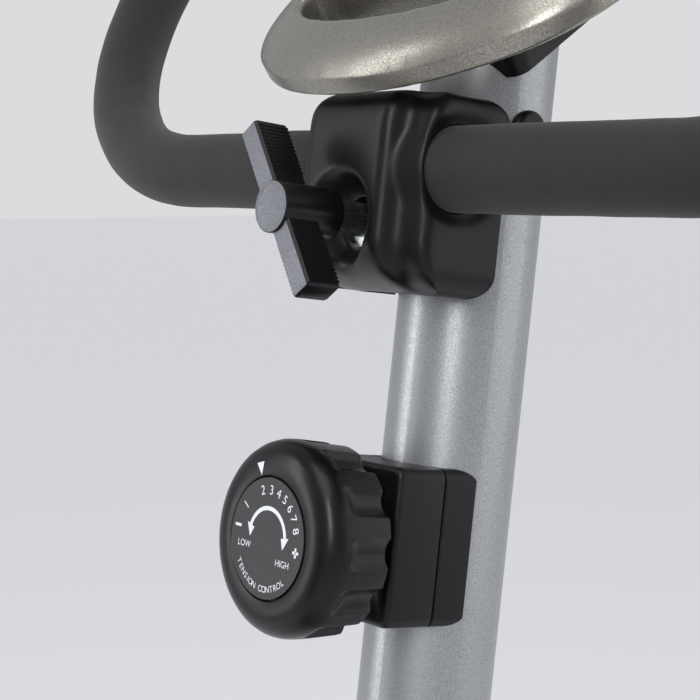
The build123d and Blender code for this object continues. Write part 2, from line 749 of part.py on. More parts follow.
clamp_block_z = carriage_top + stub_height - 16
rails_z = clamp_block_z + 20
rail_wire = 3.5
rail_spread = 21.0
shell_z = rails_z + 14
saddle_x = rail_point.X + 8

with BuildPart() as saddle_clamp:
    with BuildSketch(floor_plane(rail_point.X, 0, clamp_block_z)):
        RectangleRounded(34, 56, 6)
    extrude(amount=26)
    with BuildSketch(floor_plane(rail_point.X, 0, clamp_block_z - 1)):
        Circle(12)
    extrude(amount=17, mode=Mode.SUBTRACT)
    for side in (-1, 1):
        with BuildSketch(Plane.YZ.offset(rail_point.X - 40)):
            with Locations((side * rail_spread, rails_z)):
                Circle(rail_wire)
        extrude(amount=80, mode=Mode.SUBTRACT)
    cylinder_y(rail_point.X, clamp_block_z + 7.5, 4, -36, -12)
    cylinder_y(rail_point.X, clamp_block_z + 7.5, 4, 12, 36)
    for y_from, y_to in ((-36, -28), (28, 36)):
        cylinder_y(rail_point.X, clamp_block_z + 7.5, 7.5, y_from, y_to)
save(saddle_clamp, "saddle_clamp")

with BuildPart() as saddle_rails:
    for side in (-1, 1):
        y = side * rail_spread
        with BuildLine() as wire:
            FilletPolyline(
                (saddle_x - 80, y, shell_z + 6),
                (saddle_x - 66, y, rails_z),
                (saddle_x + 60, y, rails_z),
                (saddle_x + 84, y * 0.5, shell_z + 6),
                radius=14,
            )
        with BuildSketch(Plane(origin=wire.line @ 0, z_dir=wire.line % 0)):
            Circle(rail_wire)
        sweep(path=wire.line)
save(saddle_rails, "saddle_rails")


def saddle_outline(inset):
    """The saddle from above: a wide rear and a nose, that far inside the full size."""
    half = saddle_width / 2 - inset
    rear = saddle_length * 0.42 - inset
    nose = saddle_length * 0.58 - inset
    with BuildSketch(Plane.XY) as outline:
        with BuildLine():
            left = Spline(
                (-rear, 0),
                (-rear + 14, half * 0.62),
                (-rear + 62, half),
                (-rear + 120, half * 0.62),
                (nose - 60, 34 - inset / 2),
                (nose, 0),
                tangents=[(0, 1), (0, -1)],
            )
            mirror(left, about=Plane.XZ)
        make_face()
    return outline.sketch


with BuildPart() as saddle_shell:
    with BuildSketch(floor_plane(saddle_x, 0, shell_z)):
        add(saddle_outline(9))
    extrude(amount=12)
    with BuildSketch(floor_plane(saddle_x, 0, shell_z)):
        add(saddle_outline(20))
    extrude(amount=6, mode=Mode.SUBTRACT)
    for side in (-1, 1):
        rear_block = (saddle_x - 79, side * rail_spread, shell_z + 6)
        front_block = (saddle_x + 82, side * rail_spread * 0.5, shell_z + 6)
        with Locations(rear_block, front_block):
            Box(16, 14, 12)
    for side in (-1, 1):
        y = side * rail_spread
        with BuildLine() as wire:
            FilletPolyline(
                (saddle_x - 80, y, shell_z + 6),
                (saddle_x - 66, y, rails_z),
                (saddle_x + 60, y, rails_z),
                (saddle_x + 84, y * 0.5, shell_z + 6),
                radius=14,
            )
        with BuildSketch(Plane(origin=wire.line @ 0, z_dir=wire.line % 0)):
            Circle(rail_wire)
        sweep(path=wire.line, mode=Mode.SUBTRACT)
save(saddle_shell, "saddle_shell")

with BuildPart() as saddle_pad:
    with BuildSketch(floor_plane(saddle_x, 0, shell_z + 12)):
        add(saddle_outline(3))
    with BuildSketch(floor_plane(saddle_x, 0, shell_z + 30)):
        add(saddle_outline(0))
    loft()
    with BuildSketch(floor_plane(saddle_x, 0, shell_z + 30)):
        add(saddle_outline(0))
    with BuildSketch(floor_plane(saddle_x, 0, shell_z + 52)):
        add(saddle_outline(6))
    with BuildSketch(floor_plane(saddle_x, 0, shell_z + 66)):
        add(saddle_outline(26))
    loft()
save(saddle_pad, "saddle_pad")

# ---------------------------------------------------------------- handlebar post and clamp
bar_centre = post_point(0, bar_up, bar_back)
block_half = 22.0
block_low = -14.0
block_high = 40.0
plug_at = 39.0
plug_radius = 7.3
tension_at = -tension_down
pin_radius = 3.0

with BuildPart() as handlebar_post:
    with BuildSketch(post_plane(post_bottom)):
        Circle(post_radius)
    extrude(amount=post_top - post_bottom)
    # Half of the bar clamp is welded to the rear of the post
    with BuildSketch(clamp_side(-block_half)):
        with Locations(((20 + bar_back - 0.5) / 2, (block_low + block_high) / 2)):
            Rectangle(bar_back - 0.5 - 20, block_high - block_low)
    extrude(amount=2 * block_half)
    with BuildSketch(clamp_side(-60)):
        with Locations((bar_back, bar_up)):
            Circle(bar_radius + running)
    extrude(amount=120, mode=Mode.SUBTRACT)
    with BuildSketch(post_plane(post_bottom)):
        Circle(post_radius - tube_wall)
    extrude(amount=post_top - post_bottom, mode=Mode.SUBTRACT)
    with BuildSketch(rider_plane(0, 10)):
        Circle(bolt_radius + running)
    extrude(amount=40, mode=Mode.SUBTRACT)
    with BuildSketch(rider_plane(tension_at, 10)):
        Circle(pin_radius)
    extrude(amount=40, mode=Mode.SUBTRACT)
    with BuildSketch(Plane(origin=cable_top, z_dir=cable_corner - cable_top)):
        Circle(4.0)
    extrude(amount=36, mode=Mode.SUBTRACT)
    for along in post_bolt_at:
        with BuildSketch(rider_plane(along, -60)):
            Circle(bolt_radius + 0.3)
        extrude(amount=120, mode=Mode.SUBTRACT)
    with BuildSketch(clamp_side(-60)):
        with Locations((1, plug_at)):
            Circle(plug_radius - 2)
    extrude(amount=120, mode=Mode.SUBTRACT)
save(handlebar_post, "handlebar_post")

with BuildPart() as post_plugs:
    for side in (-1, 1):
        y_from, y_to = sorted((side * (post_radius - 1.4), side * (post_radius + 3)))
        with BuildSketch(clamp_side(y_from)):
            with Locations((1, plug_at)):
                Circle(plug_radius)
        extrude(amount=y_to - y_from)
    fillet(post_plugs.edges().group_by(Axis.Y)[-1], 2.2)
    fillet(post_plugs.edges().group_by(Axis.Y)[0], 2.2)
    with BuildSketch(post_plane(plug_at - 20)):
        Circle(post_radius)
    extrude(amount=40, mode=Mode.SUBTRACT)
    for side in (-1, 1):
        y_from, y_to = sorted((side * (post_radius - 4), side * (post_radius + 1)))
        with BuildSketch(clamp_side(y_from)):
            with Locations((1, plug_at)):
                Circle(plug_radius - 2)
        extrude(amount=y_to - y_from)
save(post_plugs, "post_plugs")

with BuildPart() as post_bolts:
    for along in post_bolt_at:
        with BuildSketch(rider_plane(along, post_radius - 1.2)):
            Circle(7.5)
        extrude(amount=5.7)
        with BuildSketch(rider_plane(along, 1.2 - post_radius)):
            RegularPolygon(7.5, 6)
        extrude(amount=-6.2)
    with BuildSketch(post_plane(post_bottom)):
        Circle(post_radius)
    extrude(amount=spigot_length, mode=Mode.SUBTRACT)
    for along in post_bolt_at:
        with BuildSketch(rider_plane(along, -post_radius - 8)):
            Circle(bolt_radius)
        extrude(amount=2 * post_radius + 10)
        with BuildSketch(rider_plane(along, post_radius + 4.5)):
            Circle(6.8)
        extrude(amount=2.5, taper=40)
save(post_bolts, "post_bolts")

cap_floor = 51.0
cap_half = 18.5
with BuildPart() as clamp_cap:
    with BuildSketch(clamp_side(-cap_half)):
        with Locations((bar_back, bar_up)):
            Circle(bar_radius + 2.3)
        with Locations((45, (block_low + 5) / 2)):
            Rectangle(2 * (cap_floor - 45), 5 - block_low)
        with Locations((44, (bar_up + 10 + block_high) / 2)):
            Rectangle(8, block_high - bar_up - 10)
        with Locations((bar_back + 0.5 - 20, bar_up)):
            Rectangle(40, 80, mode=Mode.SUBTRACT)
        with Locations((bar_back, bar_up)):
            Circle(bar_radius + running, mode=Mode.SUBTRACT)
    extrude(amount=2 * cap_half)
    with BuildSketch(rider_plane(0, 20)):
        Circle(bolt_radius + 0.3)
    extrude(amount=50, mode=Mode.SUBTRACT)
save(clamp_cap, "clamp_cap")

# ---------------------------------------------------------------- handlebar
sweep_angle = 85.0
reach_radius = 255.0
reach_angle = 40.0
reach_run = 28.0
foam_start = 34.0
cap_depth = 6.0


def arm(side, start_at):
    """The centre line of one arm of the handlebar, from start_at off the middle to its end."""
    out = Vector(0, side, 0)
    rise = Vector(sin(radians(bar_plane_lean)), 0, cos(radians(bar_plane_lean)))
    corner = bar_centre + out * bar_straight

    def on_bend(angle):
        a = radians(angle)
        return corner + (out * sin(a) + rise * (1 - cos(a))) * bar_bend

    turn = radians(sweep_angle)
    heading = out * cos(turn) + rise * sin(turn)
    forward = (Vector(1, 0, 0) - heading * heading.X).normalized()
    top = on_bend(sweep_angle)

    def on_reach(angle):
        a = radians(angle)
        return top + (heading * sin(a) + forward * (1 - cos(a))) * reach_radius

    final = radians(reach_angle)
    tip = on_reach(reach_angle) + (heading * cos(final) + forward * sin(final)) * reach_run
    with BuildLine() as line:
        Line(bar_centre + out * start_at, corner)
        ThreePointArc(corner, on_bend(sweep_angle / 2), top)
        ThreePointArc(top, on_reach(reach_angle / 2), on_reach(reach_angle))
        Line(on_reach(reach_angle), tip)
    return line.line


with BuildPart() as handlebar:
    for side in (-1, 1):
        path = arm(side, 0)
        with BuildSketch(Plane(origin=path @ 0, z_dir=path % 0)):
            Circle(bar_radius)
        sweep(path=path)
    for side in (-1, 1):
        path = arm(side, 0)
        with BuildSketch(Plane(origin=path @ 0, z_dir=path % 0)):
            Circle(bar_radius - tube_wall)
        sweep(path=path, mode=Mode.SUBTRACT)
save(handlebar, "handlebar")

with BuildPart() as foam_grips:
    for side in (-1, 1):
        path = arm(side, foam_start)
        with BuildSketch(Plane(origin=path @ 0, z_dir=path % 0)):
            Circle(foam_radius)
            Circle(bar_radius, mode=Mode.SUBTRACT)
        sweep(path=path)
save(foam_grips, "foam_grips")

with BuildPart() as bar_end_caps:
    for side in (-1, 1):
        path = arm(side, foam_start)
        with BuildSketch(Plane(origin=(path @ 1) - (path % 1) * 14, z_dir=path % 1)):
            Circle(bar_radius - tube_wall)
        extrude(amount=14)
        with BuildSketch(Plane(origin=path @ 1, z_dir=path % 1)):
            Circle(foam_radius)
        extrude(amount=cap_depth, taper=18)
save(bar_end_caps, "bar_end_caps")

# ---------------------------------------------------------------- clamp knob and cover
tee_back = tee_face - tee_boss_length

with BuildPart() as tee_sleeve:
    with BuildSketch(rider_plane(0, cap_floor)):
        Circle(6)
        Circle(bolt_radius + running, mode=Mode.SUBTRACT)
    extrude(amount=tee_back - cap_floor)
save(tee_sleeve, "tee_sleeve")

with BuildPart() as tee_stud:
    with BuildSketch(rider_plane(0, post_radius + 2)):
        Circle(bolt_radius)
    extrude(amount=tee_face - 8 - post_radius - 2)
save(tee_stud, "tee_stud")

with BuildPart() as tee_knob:
    with BuildSketch(rider_plane(0, tee_back)):
        Circle(tee_boss_radius)
    extrude(amount=tee_boss_length)
    with BuildSketch(rider_plane(0, tee_face - 14.5)):
        Rectangle(tee_width, tee_length, rotation=tee_turn)
    extrude(amount=14.5)
    chamfer(tee_knob.edges().group_by(Axis(clamp_point, to_rider))[-1], 0.8)
    with BuildSketch(rider_plane(0, tee_back)):
        Circle(bolt_radius)
    extrude(amount=tee_boss_length - 8, mode=Mode.SUBTRACT)
save(tee_knob, "tee_knob")

cover_mid = -(cover_open + 52) / 2
with BuildPart() as clamp_cover:
    with BuildSketch(post_plane(cover_low)):
        with Locations((cover_mid, 0)):
            RectangleRounded(52 - cover_open, cover_width, 6)
    extrude(amount=cover_high - cover_low)
    with BuildSketch(post_plane(cover_low)):
        with Locations((-(cover_back + 40) / 2, 0)):
            RectangleRounded(cover_back - 40, 44, 6)
    extrude(amount=40 - cover_low)
    with BuildSketch(post_plane(cover_low + cover_wall)):
        with Locations((cover_mid + 4, 0)):
            RectangleRounded(52 - cover_open + 8 - 2 * cover_wall, cover_width - 2 * cover_wall, 4)
    extrude(amount=cover_high - cover_low - 2 * cover_wall, mode=Mode.SUBTRACT)
    with BuildSketch(post_plane(cover_low + cover_wall)):
        with Locations((-(cover_back - cover_wall + 30) / 2, 0)):
            Rectangle(cover_back - cover_wall - 30, 44 - 2 * cover_wall)
    extrude(amount=40 - cover_low - 2 * cover_wall, mode=Mode.SUBTRACT)
    with BuildSketch(rider_plane(0, cap_floor + 1.2)):
        Circle(bolt_hole_radius + 1.2)
    extrude(amount=cover_back - cap_floor - 2.2, taper=-40)
    with BuildSketch(rider_plane(0, cap_floor + cover_wall)):
        Circle(bolt_hole_radius)
    extrude(amount=14, taper=-40, mode=Mode.SUBTRACT)
    with BuildSketch(rider_plane(0, cap_floor - 1)):
        Circle(bolt_hole_radius)
    extrude(amount=20, mode=Mode.SUBTRACT)
    with BuildSketch(clamp_side(-60)):
        with Locations((bar_back, bar_up)):
            Circle(foam_radius + 2.8)
        with Locations((bar_back / 2, bar_up)):
            Rectangle(bar_back, 2 * foam_radius + 5.6)
    extrude(amount=120, mode=Mode.SUBTRACT)
    with BuildSketch(post_plane(cover_low - 5)):
        Circle(post_radius + 1)
    extrude(amount=100, mode=Mode.SUBTRACT)
    for side in (-1, 1):
        y_from, y_to = sorted((side * block_half, side * (cover_width / 2 - 1)))
        with BuildSketch(clamp_side(y_from)):
            with Locations((bar_back - 1, block_low + 4)):
                Rectangle(18, 3)
        extrude(amount=y_to - y_from)
save(clamp_cover, "clamp_cover")

# ---------------------------------------------------------------- tension control
housing_front_face = 3.0 + housing_depth
neck_radius = 16.0
hub_outer = 8.0
drum_radius = 12.0

with BuildPart() as tension_housing_rear:
    with BuildSketch(rider_plane(tension_at, 3)):
        RectangleRounded(housing_width, housing_height, 4)
    extrude(amount=housing_split - 3)
    with BuildSketch(rider_plane(tension_at, 3)):
        Rectangle(housing_width - 6.6, housing_height - 6.6)
    extrude(amount=post_radius - 0.5)
    with BuildSketch(post_plane(tension_at - 40)):
        Circle(post_radius)
    extrude(amount=80, mode=Mode.SUBTRACT)
    with BuildSketch(rider_plane(tension_at, 10)):
        Circle(pin_radius)
    extrude(amount=40, mode=Mode.SUBTRACT)
    with BuildSketch(Plane(origin=cable_top, z_dir=cable_corner - cable_top)):
        Circle(4.0)
    extrude(amount=48, mode=Mode.SUBTRACT)
save(tension_housing_rear, "tension_housing_rear")

with BuildPart() as tension_housing_front:
    with BuildSketch(rider_plane(tension_at, housing_split)):
        RectangleRounded(housing_width, housing_height, 4)
    extrude(amount=housing_front_face - housing_split)
    fillet(tension_housing_front.edges().group_by(Axis(clamp_point, to_rider))[-1], 2.5)
    with BuildSketch(rider_plane(tension_at, housing_split)):
        Rectangle(housing_width - 6, housing_height - 6)
    extrude(amount=housing_front_face - housing_split - 3, mode=Mode.SUBTRACT)
    with BuildSketch(rider_plane(tension_at, housing_split)):
        Circle(hub_outer + 0.3)
    extrude(amount=40, mode=Mode.SUBTRACT)
    with BuildSketch(post_plane(tension_at - 40)):
        Circle(post_radius)
    extrude(amount=80, mode=Mode.SUBTRACT)
save(tension_housing_front, "tension_housing_front")

with BuildPart() as tension_knob:
    with BuildSketch(rider_plane(tension_at, knob_back)):
        Circle(knob_radius)
    extrude(amount=knob_face - knob_back)
    fillet(tension_knob.edges().group_by(Axis(clamp_point, to_rider))[-1], 7)
    with BuildSketch(rider_plane(tension_at, knob_back)):
        with PolarLocations(knob_radius + 3.4, knob_lobes):
            Circle(5.6)
    extrude(amount=18, mode=Mode.SUBTRACT)
    with BuildSketch(rider_plane(tension_at, knob_back)):
        Circle(knob_radius - 7)
        Circle(neck_radius, mode=Mode.SUBTRACT)
    extrude(amount=18, mode=Mode.SUBTRACT)
    with BuildSketch(rider_plane(tension_at, housing_front_face + 0.3)):
        Circle(neck_radius)
    extrude(amount=knob_back - housing_front_face)
    with BuildSketch(rider_plane(tension_at, post_radius + 4)):
        Circle(hub_outer)
    extrude(amount=24)
    with BuildSketch(rider_plane(tension_at, post_radius + 4)):
        Circle(drum_radius)
    extrude(amount=8)
    with BuildSketch(rider_plane(tension_at, knob_face - 2.8)):
        Circle(dial_radius + 0.4)
    extrude(amount=10, mode=Mode.SUBTRACT)
    with BuildSketch(rider_plane(tension_at, 20)):
        Circle(pin_radius + running)
    extrude(amount=70, mode=Mode.SUBTRACT)
save(tension_knob, "tension_knob")

with BuildPart() as tension_dial:
    with BuildSketch(rider_plane(tension_at, post_radius - 1)):
        Circle(pin_radius)
    extrude(amount=knob_face - post_radius)
    with BuildSketch(rider_plane(tension_at, knob_face - 2.4)):
        Circle(dial_radius)
    extrude(amount=2.4)
save(tension_dial, "tension_dial")

with BuildPart() as brake_cable:
    with BuildLine() as route:
        FilletPolyline(cable_drum, cable_corner, cable_top, cable_low, cable_end, radius=36)
    with BuildSketch(Plane(origin=route.line @ 0, z_dir=route.line % 0)):
        Circle(cable_radius)
    sweep(path=route.line)
save(brake_cable, "brake_cable")
print("cable bend radius 36 mm, cable radius", cable_radius)

spring_low = pivot_z - 9
spring_high = pivot_z + 3.5
with BuildPart() as brake_spring:
    with BuildLine() as coil:
        Helix((spring_high - spring_low - 1.4) / 4.5, spring_high - spring_low - 1.4, 3.8)
    with BuildSketch(Plane(origin=coil.line @ 0, z_dir=coil.line % 0)):
        Circle(0.6)
    sweep(path=coil.line, is_frenet=True)
brake_spring.part = brake_spring.part.moved(Location((pivot_x + 14, 0, spring_low + 0.7)))
save(brake_spring, "brake_spring")

# ---------------------------------------------------------------- console
frame_top = console_height
body_low = 58.0
body_high = frame_top - 10
pod_half = 36.0

with BuildPart() as console_rim:
    with BuildSketch(console_plane()) as rim_face:
        with BuildLine():
            ThreePointArc((-console_corner, console_sag), (0, 0), (console_corner, console_sag))
            Polyline(
                (console_corner, console_sag),
                (console_half - 3, console_sag + 15),
                (console_half, console_sag + 46),
                (console_half - 7, frame_top),
                (7 - console_half, frame_top),
                (-console_half, console_sag + 46),
                (3 - console_half, console_sag + 15),
                (-console_corner, console_sag),
            )
        make_face()
        fillet(rim_face.vertices().group_by(Axis.Y)[-1], 24)
    extrude(amount=console_thickness)
    with BuildSketch(console_plane(-1)) as slot_face:
        with BuildLine():
            ThreePointArc((-52, console_bar + 12), (0, console_bar), (52, console_bar + 12))
            Polyline((52, console_bar + 12), (52, body_low - 8), (-52, body_low - 8), (-52, console_bar + 12))
        make_face()
        fillet(slot_face.vertices(), 6)
    extrude(amount=console_thickness + 2, mode=Mode.SUBTRACT)
    with BuildSketch(console_plane(-1)):
        with Locations((0, (body_low + body_high) / 2)):
            RectangleRounded(2 * console_half - 26, body_high - body_low, 14)
    extrude(amount=console_thickness + 2, mode=Mode.SUBTRACT)
save(console_rim, "console_rim")

display_at = 132.0
keys_at = 78.0
key_spacing = 34.0
with BuildPart() as console_body:
    with BuildSketch(console_plane()):
        with Locations((0, (body_low + body_high) / 2)):
            RectangleRounded(2 * console_half - 26, body_high - body_low, 14)
    extrude(amount=console_thickness - 2)
    with BuildSketch(console_plane()):
        with Locations((0, 84)):
            RectangleRounded(2 * pod_half, 76, 10)
    extrude(amount=-24, taper=12)
    with BuildSketch(console_plane(console_thickness - 4)):
        with Locations((0, display_at)):
            RectangleRounded(116, 66, 4)
    extrude(amount=4, mode=Mode.SUBTRACT)
    with BuildSketch(console_plane(3)):
        with Locations((0, display_at)):
            RectangleRounded(104, 56, 4)
    extrude(amount=30, mode=Mode.SUBTRACT)
    with BuildSketch(console_plane(console_thickness - 12)):
        with Locations((0, keys_at)):
            Rectangle(2 * key_spacing + 20, 18)
    extrude(amount=6, mode=Mode.SUBTRACT)
    with BuildSketch(console_plane(console_thickness - 12)):
        with Locations((-key_spacing, keys_at), (0, keys_at), (key_spacing, keys_at)):
            Circle(6.3)
    extrude(amount=20, mode=Mode.SUBTRACT)
    with BuildSketch(post_plane(0)):
        Circle(post_radius)
    extrude(amount=post_top, mode=Mode.SUBTRACT)
save(console_body, "console_body")

with BuildPart() as console_display:
    with BuildSketch(console_plane(console_thickness - 4)):
        with Locations((0, display_at)):
            RectangleRounded(115.6, 65.6, 4)
    extrude(amount=2.5)
save(console_display, "console_display")

with BuildPart() as console_keys:
    with BuildSketch(console_plane(console_thickness - 9)):
        with Locations((0, keys_at)):
            Rectangle(2 * key_spacing + 16, 15)
    extrude(amount=2.9)
    with BuildSketch(console_plane(console_thickness - 9)):
        with Locations((-key_spacing, keys_at), (0, keys_at), (key_spacing, keys_at)):
            Circle(6)
    extrude(amount=9)
save(console_keys, "console_keys")
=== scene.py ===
# %% [markdown]
# # An upright exercise bike, seen at its clamp and tension dial
# The solid model already holds every part at its true size and place. This lesson dresses it:
# it gives each part the finish it really has, and rebuilds in mesh the few parts whose charm is
# in their shape, such as the fluted dial, the T-knob, the moulded clamp cover and the saddle.

# %% Load the frame
import math

import bmesh
import bpy
from mathutils import Matrix, Vector, noise
from mathutils.kdtree import KDTree


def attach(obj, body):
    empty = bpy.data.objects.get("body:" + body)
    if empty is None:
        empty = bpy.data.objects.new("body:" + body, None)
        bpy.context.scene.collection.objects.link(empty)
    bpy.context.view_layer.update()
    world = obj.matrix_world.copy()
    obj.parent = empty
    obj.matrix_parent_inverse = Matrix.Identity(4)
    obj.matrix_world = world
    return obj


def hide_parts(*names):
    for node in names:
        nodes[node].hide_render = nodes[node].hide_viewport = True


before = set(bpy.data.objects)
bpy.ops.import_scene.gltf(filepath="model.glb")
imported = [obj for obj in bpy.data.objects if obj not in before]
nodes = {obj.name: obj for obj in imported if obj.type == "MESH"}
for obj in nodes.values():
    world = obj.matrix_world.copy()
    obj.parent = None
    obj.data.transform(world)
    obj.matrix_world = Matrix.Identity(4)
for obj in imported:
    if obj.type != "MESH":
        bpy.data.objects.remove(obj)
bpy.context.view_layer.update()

# %% [markdown]
# The clamp, the dial and the post share one leaning axis, so it pays to name its three
# directions once. Every part near it can then be drawn as if it stood upright.

# %% The post's own directions
MM = 0.001
lean = math.radians(7.54)
clamp = Vector((0.240, 0.0, 1.030))
up = Vector((math.sin(lean), 0.0, math.cos(lean)))
rider = Vector((-math.cos(lean), 0.0, math.sin(lean)))
right = Vector((0.0, -1.0, 0.0))
dial_centre = clamp - up * 113.7 * MM


def place(origin, x, y, out):
    """A point x to the rider's right, y up the post and out towards the rider, in mm."""
    return origin + (right * x + up * y + rider * out) * MM


print("dial centre", [round(c, 4) for c in dial_centre])

# %% [markdown]
# Colours are written as they would be picked on a screen. Shaders add light, so they need the
# linear value, and one function turns the one into the other.

# %% Colour and node helpers
def linear(hex_colour):
    channels = [int(hex_colour[i : i + 2], 16) / 255 for i in (1, 3, 5)]
    return [c / 12.92 if c <= 0.04045 else ((c + 0.055) / 1.055) ** 2.4 for c in channels] + [1.0]


def add_node(tree, kind, inputs=None, **settings):
    """Adds a node, applies its settings, and fills or links its inputs."""
    made = tree.nodes.new(kind)
    for key, value in settings.items():
        setattr(made, key, value)
    for key, value in (inputs or {}).items():
        if isinstance(value, bpy.types.NodeSocket):
            tree.links.new(value, made.inputs[key])
        else:
            made.inputs[key].default_value = value
    return made


def new_finish(name):
    """A material with an empty surface, and the object coordinates that its patterns read."""
    material = bpy.data.materials.new(name)
    material.use_nodes = True
    tree = material.node_tree
    tree.nodes.clear()
    where = add_node(tree, "ShaderNodeTexCoord").outputs["Object"]
    return material, tree, where


def finish_surface(tree, shader, **inputs):
    """Sets the surface's remaining values and joins it to the output."""
    for key, value in inputs.items():
        shader.inputs[key.replace("_", " ")].default_value = value
    add_node(tree, "ShaderNodeOutputMaterial", {"Surface": shader.outputs["BSDF"]})


print("mid grey in linear light", round(linear("#808080")[0], 4))

# %% [markdown]
# **Silver hammer paint** on steel tube. Aluminium flake floats in a clear lacquer, which gives
# a broad soft highlight with a fine sparkle in it. A coarse noise makes the faint orange peel,
# a fine one the flake. The flake is really 0.1 mm, and is drawn at 0.5 mm so that it shows.

# %% Silver paint
def flake_paint(name, dark, light, flake_mm, metallic, roughness, peel=0.12):
    material, tree, where = new_finish(name)
    flake = add_node(tree, "ShaderNodeTexNoise", {"Vector": where, "Scale": 1 / (flake_mm * MM),
                     "Detail": 3.0})
    colour = add_node(tree, "ShaderNodeMix", {"Factor": 0.5, 6: linear(dark), 7: linear(light)},
                      data_type="RGBA")
    spread = add_node(tree, "ShaderNodeMapRange", {"Value": flake.outputs["Fac"], "From Min": 0.36,
                      "From Max": 0.64})
    tree.links.new(spread.outputs["Result"], colour.inputs["Factor"])
    rough = add_node(tree, "ShaderNodeMapRange", {"Value": flake.outputs["Fac"], "From Min": 0.3,
                     "From Max": 0.7, "To Min": roughness + 0.08, "To Max": roughness - 0.08})
    ripple = add_node(tree, "ShaderNodeTexNoise", {"Vector": where, "Scale": 420.0, "Detail": 1.0})
    both = add_node(tree, "ShaderNodeMath", {0: flake.outputs["Fac"], 1: ripple.outputs["Fac"]},
                    operation="ADD")
    bump = add_node(tree, "ShaderNodeBump", {"Height": both.outputs[0], "Strength": peel, "Distance": 0.0002})
    shader = add_node(tree, "ShaderNodeBsdfPrincipled", {"Base Color": colour.outputs[2],
                      "Roughness": rough.outputs["Result"], "Normal": bump.outputs["Normal"],
                      "Metallic": metallic})
    finish_surface(tree, shader, Coat_Weight=0.25, Coat_Roughness=0.3)
    return material


post_paint = flake_paint("silver_hammer_paint", "#8c8e91", "#a8aaac", 0.5, 0.75, 0.39, 0.06)
frame_paint = flake_paint("frame_silver_paint", "#888a8d", "#a5a7a9", 0.5, 0.75, 0.40, 0.06)
rim_paint = flake_paint("champagne_flake_paint", "#77746e", "#9d998f", 0.5, 0.8, 0.34, 0.08)
crank_paint = flake_paint("black_stove_paint", "#121213", "#1e1e20", 0.5, 0.25, 0.33, 0.06)
print("paints", post_paint.name, rim_paint.name)


# %% [markdown]
# **Black ABS** from a spark-eroded mould: a fine even grain that spreads the highlight into a
# soft grey sheen. Edges that hands touch are polished a little, which a pointiness mask would
# give in a render but not in an export, so a slow noise varies the gloss instead.

# %% Moulded plastics
def moulded(name, base, sheen_colour, roughness, grain_mm=0.5, grain=0.16, coat=0.0):
    material, tree, where = new_finish(name)
    slow = add_node(tree, "ShaderNodeTexNoise", {"Vector": where, "Scale": 45.0, "Detail": 3.0})
    colour = add_node(tree, "ShaderNodeMix", {"Factor": slow.outputs["Fac"], 6: linear(base),
                      7: linear(sheen_colour)}, data_type="RGBA")
    gloss = add_node(tree, "ShaderNodeMapRange", {"Value": slow.outputs["Fac"], "From Min": 0.3,
                     "From Max": 0.7, "To Min": roughness - 0.05, "To Max": roughness + 0.06})
    pits = add_node(tree, "ShaderNodeTexVoronoi", {"Vector": where, "Scale": 1 / (grain_mm * MM)})
    bump = add_node(tree, "ShaderNodeBump", {"Height": pits.outputs["Distance"], "Strength": grain,
                    "Distance": 0.00012})
    shader = add_node(tree, "ShaderNodeBsdfPrincipled", {"Base Color": colour.outputs[2],
                      "Roughness": gloss.outputs["Result"], "Normal": bump.outputs["Normal"]})
    finish_surface(tree, shader, Specular_IOR_Level=0.24, Coat_Weight=coat, Coat_Roughness=0.25)
    return material


black_abs = moulded("black_abs_fine_grain", "#09090b", "#0f0f11", 0.37)
knob_abs = moulded("black_abs_satin", "#09090b", "#0e0e10", 0.30, 0.45, 0.08)
cover_abs = moulded("dark_grey_abs", "#35363a", "#3f4044", 0.46, 0.6)
soft_rubber = moulded("black_rubber", "#161617", "#1f1f20", 0.62, 0.8, 0.2)
key_rubber = moulded("grey_silicone_rubber", "#6c6e72", "#787a7e", 0.55, 0.5, 0.1)
print("plastics", black_abs.name, cover_abs.name)


# %% [markdown]
# **Zinc-plated steel** has a bluish silver colour with faint turning lines; **turned steel**
# is a little warmer. Both keep a metal's own reflection, and noise stretched along one axis
# gives the tool marks.

# %% Bare metals
def bare_metal(name, dark, light, roughness, stretch=(40.0, 900.0, 900.0)):
    material, tree, where = new_finish(name)
    mapped = add_node(tree, "ShaderNodeMapping", {"Vector": where, "Scale": stretch})
    lines = add_node(tree, "ShaderNodeTexNoise", {"Vector": mapped.outputs["Vector"], "Scale": 1.0,
                     "Detail": 3.0})
    colour = add_node(tree, "ShaderNodeMix", {"Factor": lines.outputs["Fac"], 6: linear(dark),
                      7: linear(light)}, data_type="RGBA")
    gloss = add_node(tree, "ShaderNodeMapRange", {"Value": lines.outputs["Fac"], "To Min": roughness - 0.07,
                     "To Max": roughness + 0.07})
    bump = add_node(tree, "ShaderNodeBump", {"Height": lines.outputs["Fac"], "Strength": 0.1,
                    "Distance": 0.00005})
    shader = add_node(tree, "ShaderNodeBsdfPrincipled", {"Base Color": colour.outputs[2],
                      "Roughness": gloss.outputs["Result"], "Normal": bump.outputs["Normal"],
                      "Metallic": 1.0})
    finish_surface(tree, shader)
    return material


zinc = bare_metal("zinc_plated_steel", "#b2b8b4", "#d2d7d2", 0.28)
drawn_steel = bare_metal("drawn_steel_tube", "#9b9d9f", "#bfc1c2", 0.3)
cast_iron = bare_metal("machined_cast_iron", "#4c4d4f", "#77787a", 0.42, (300.0, 60.0, 300.0))
print("metals", zinc.name, cast_iron.name)


# %% [markdown]
# **Closed-cell foam** (NBR) is a skinless black sponge. Its cells are about 0.3 mm, drawn at
# 0.9 mm, and it shines so little that only a faint sheen at the edge shows its roundness.

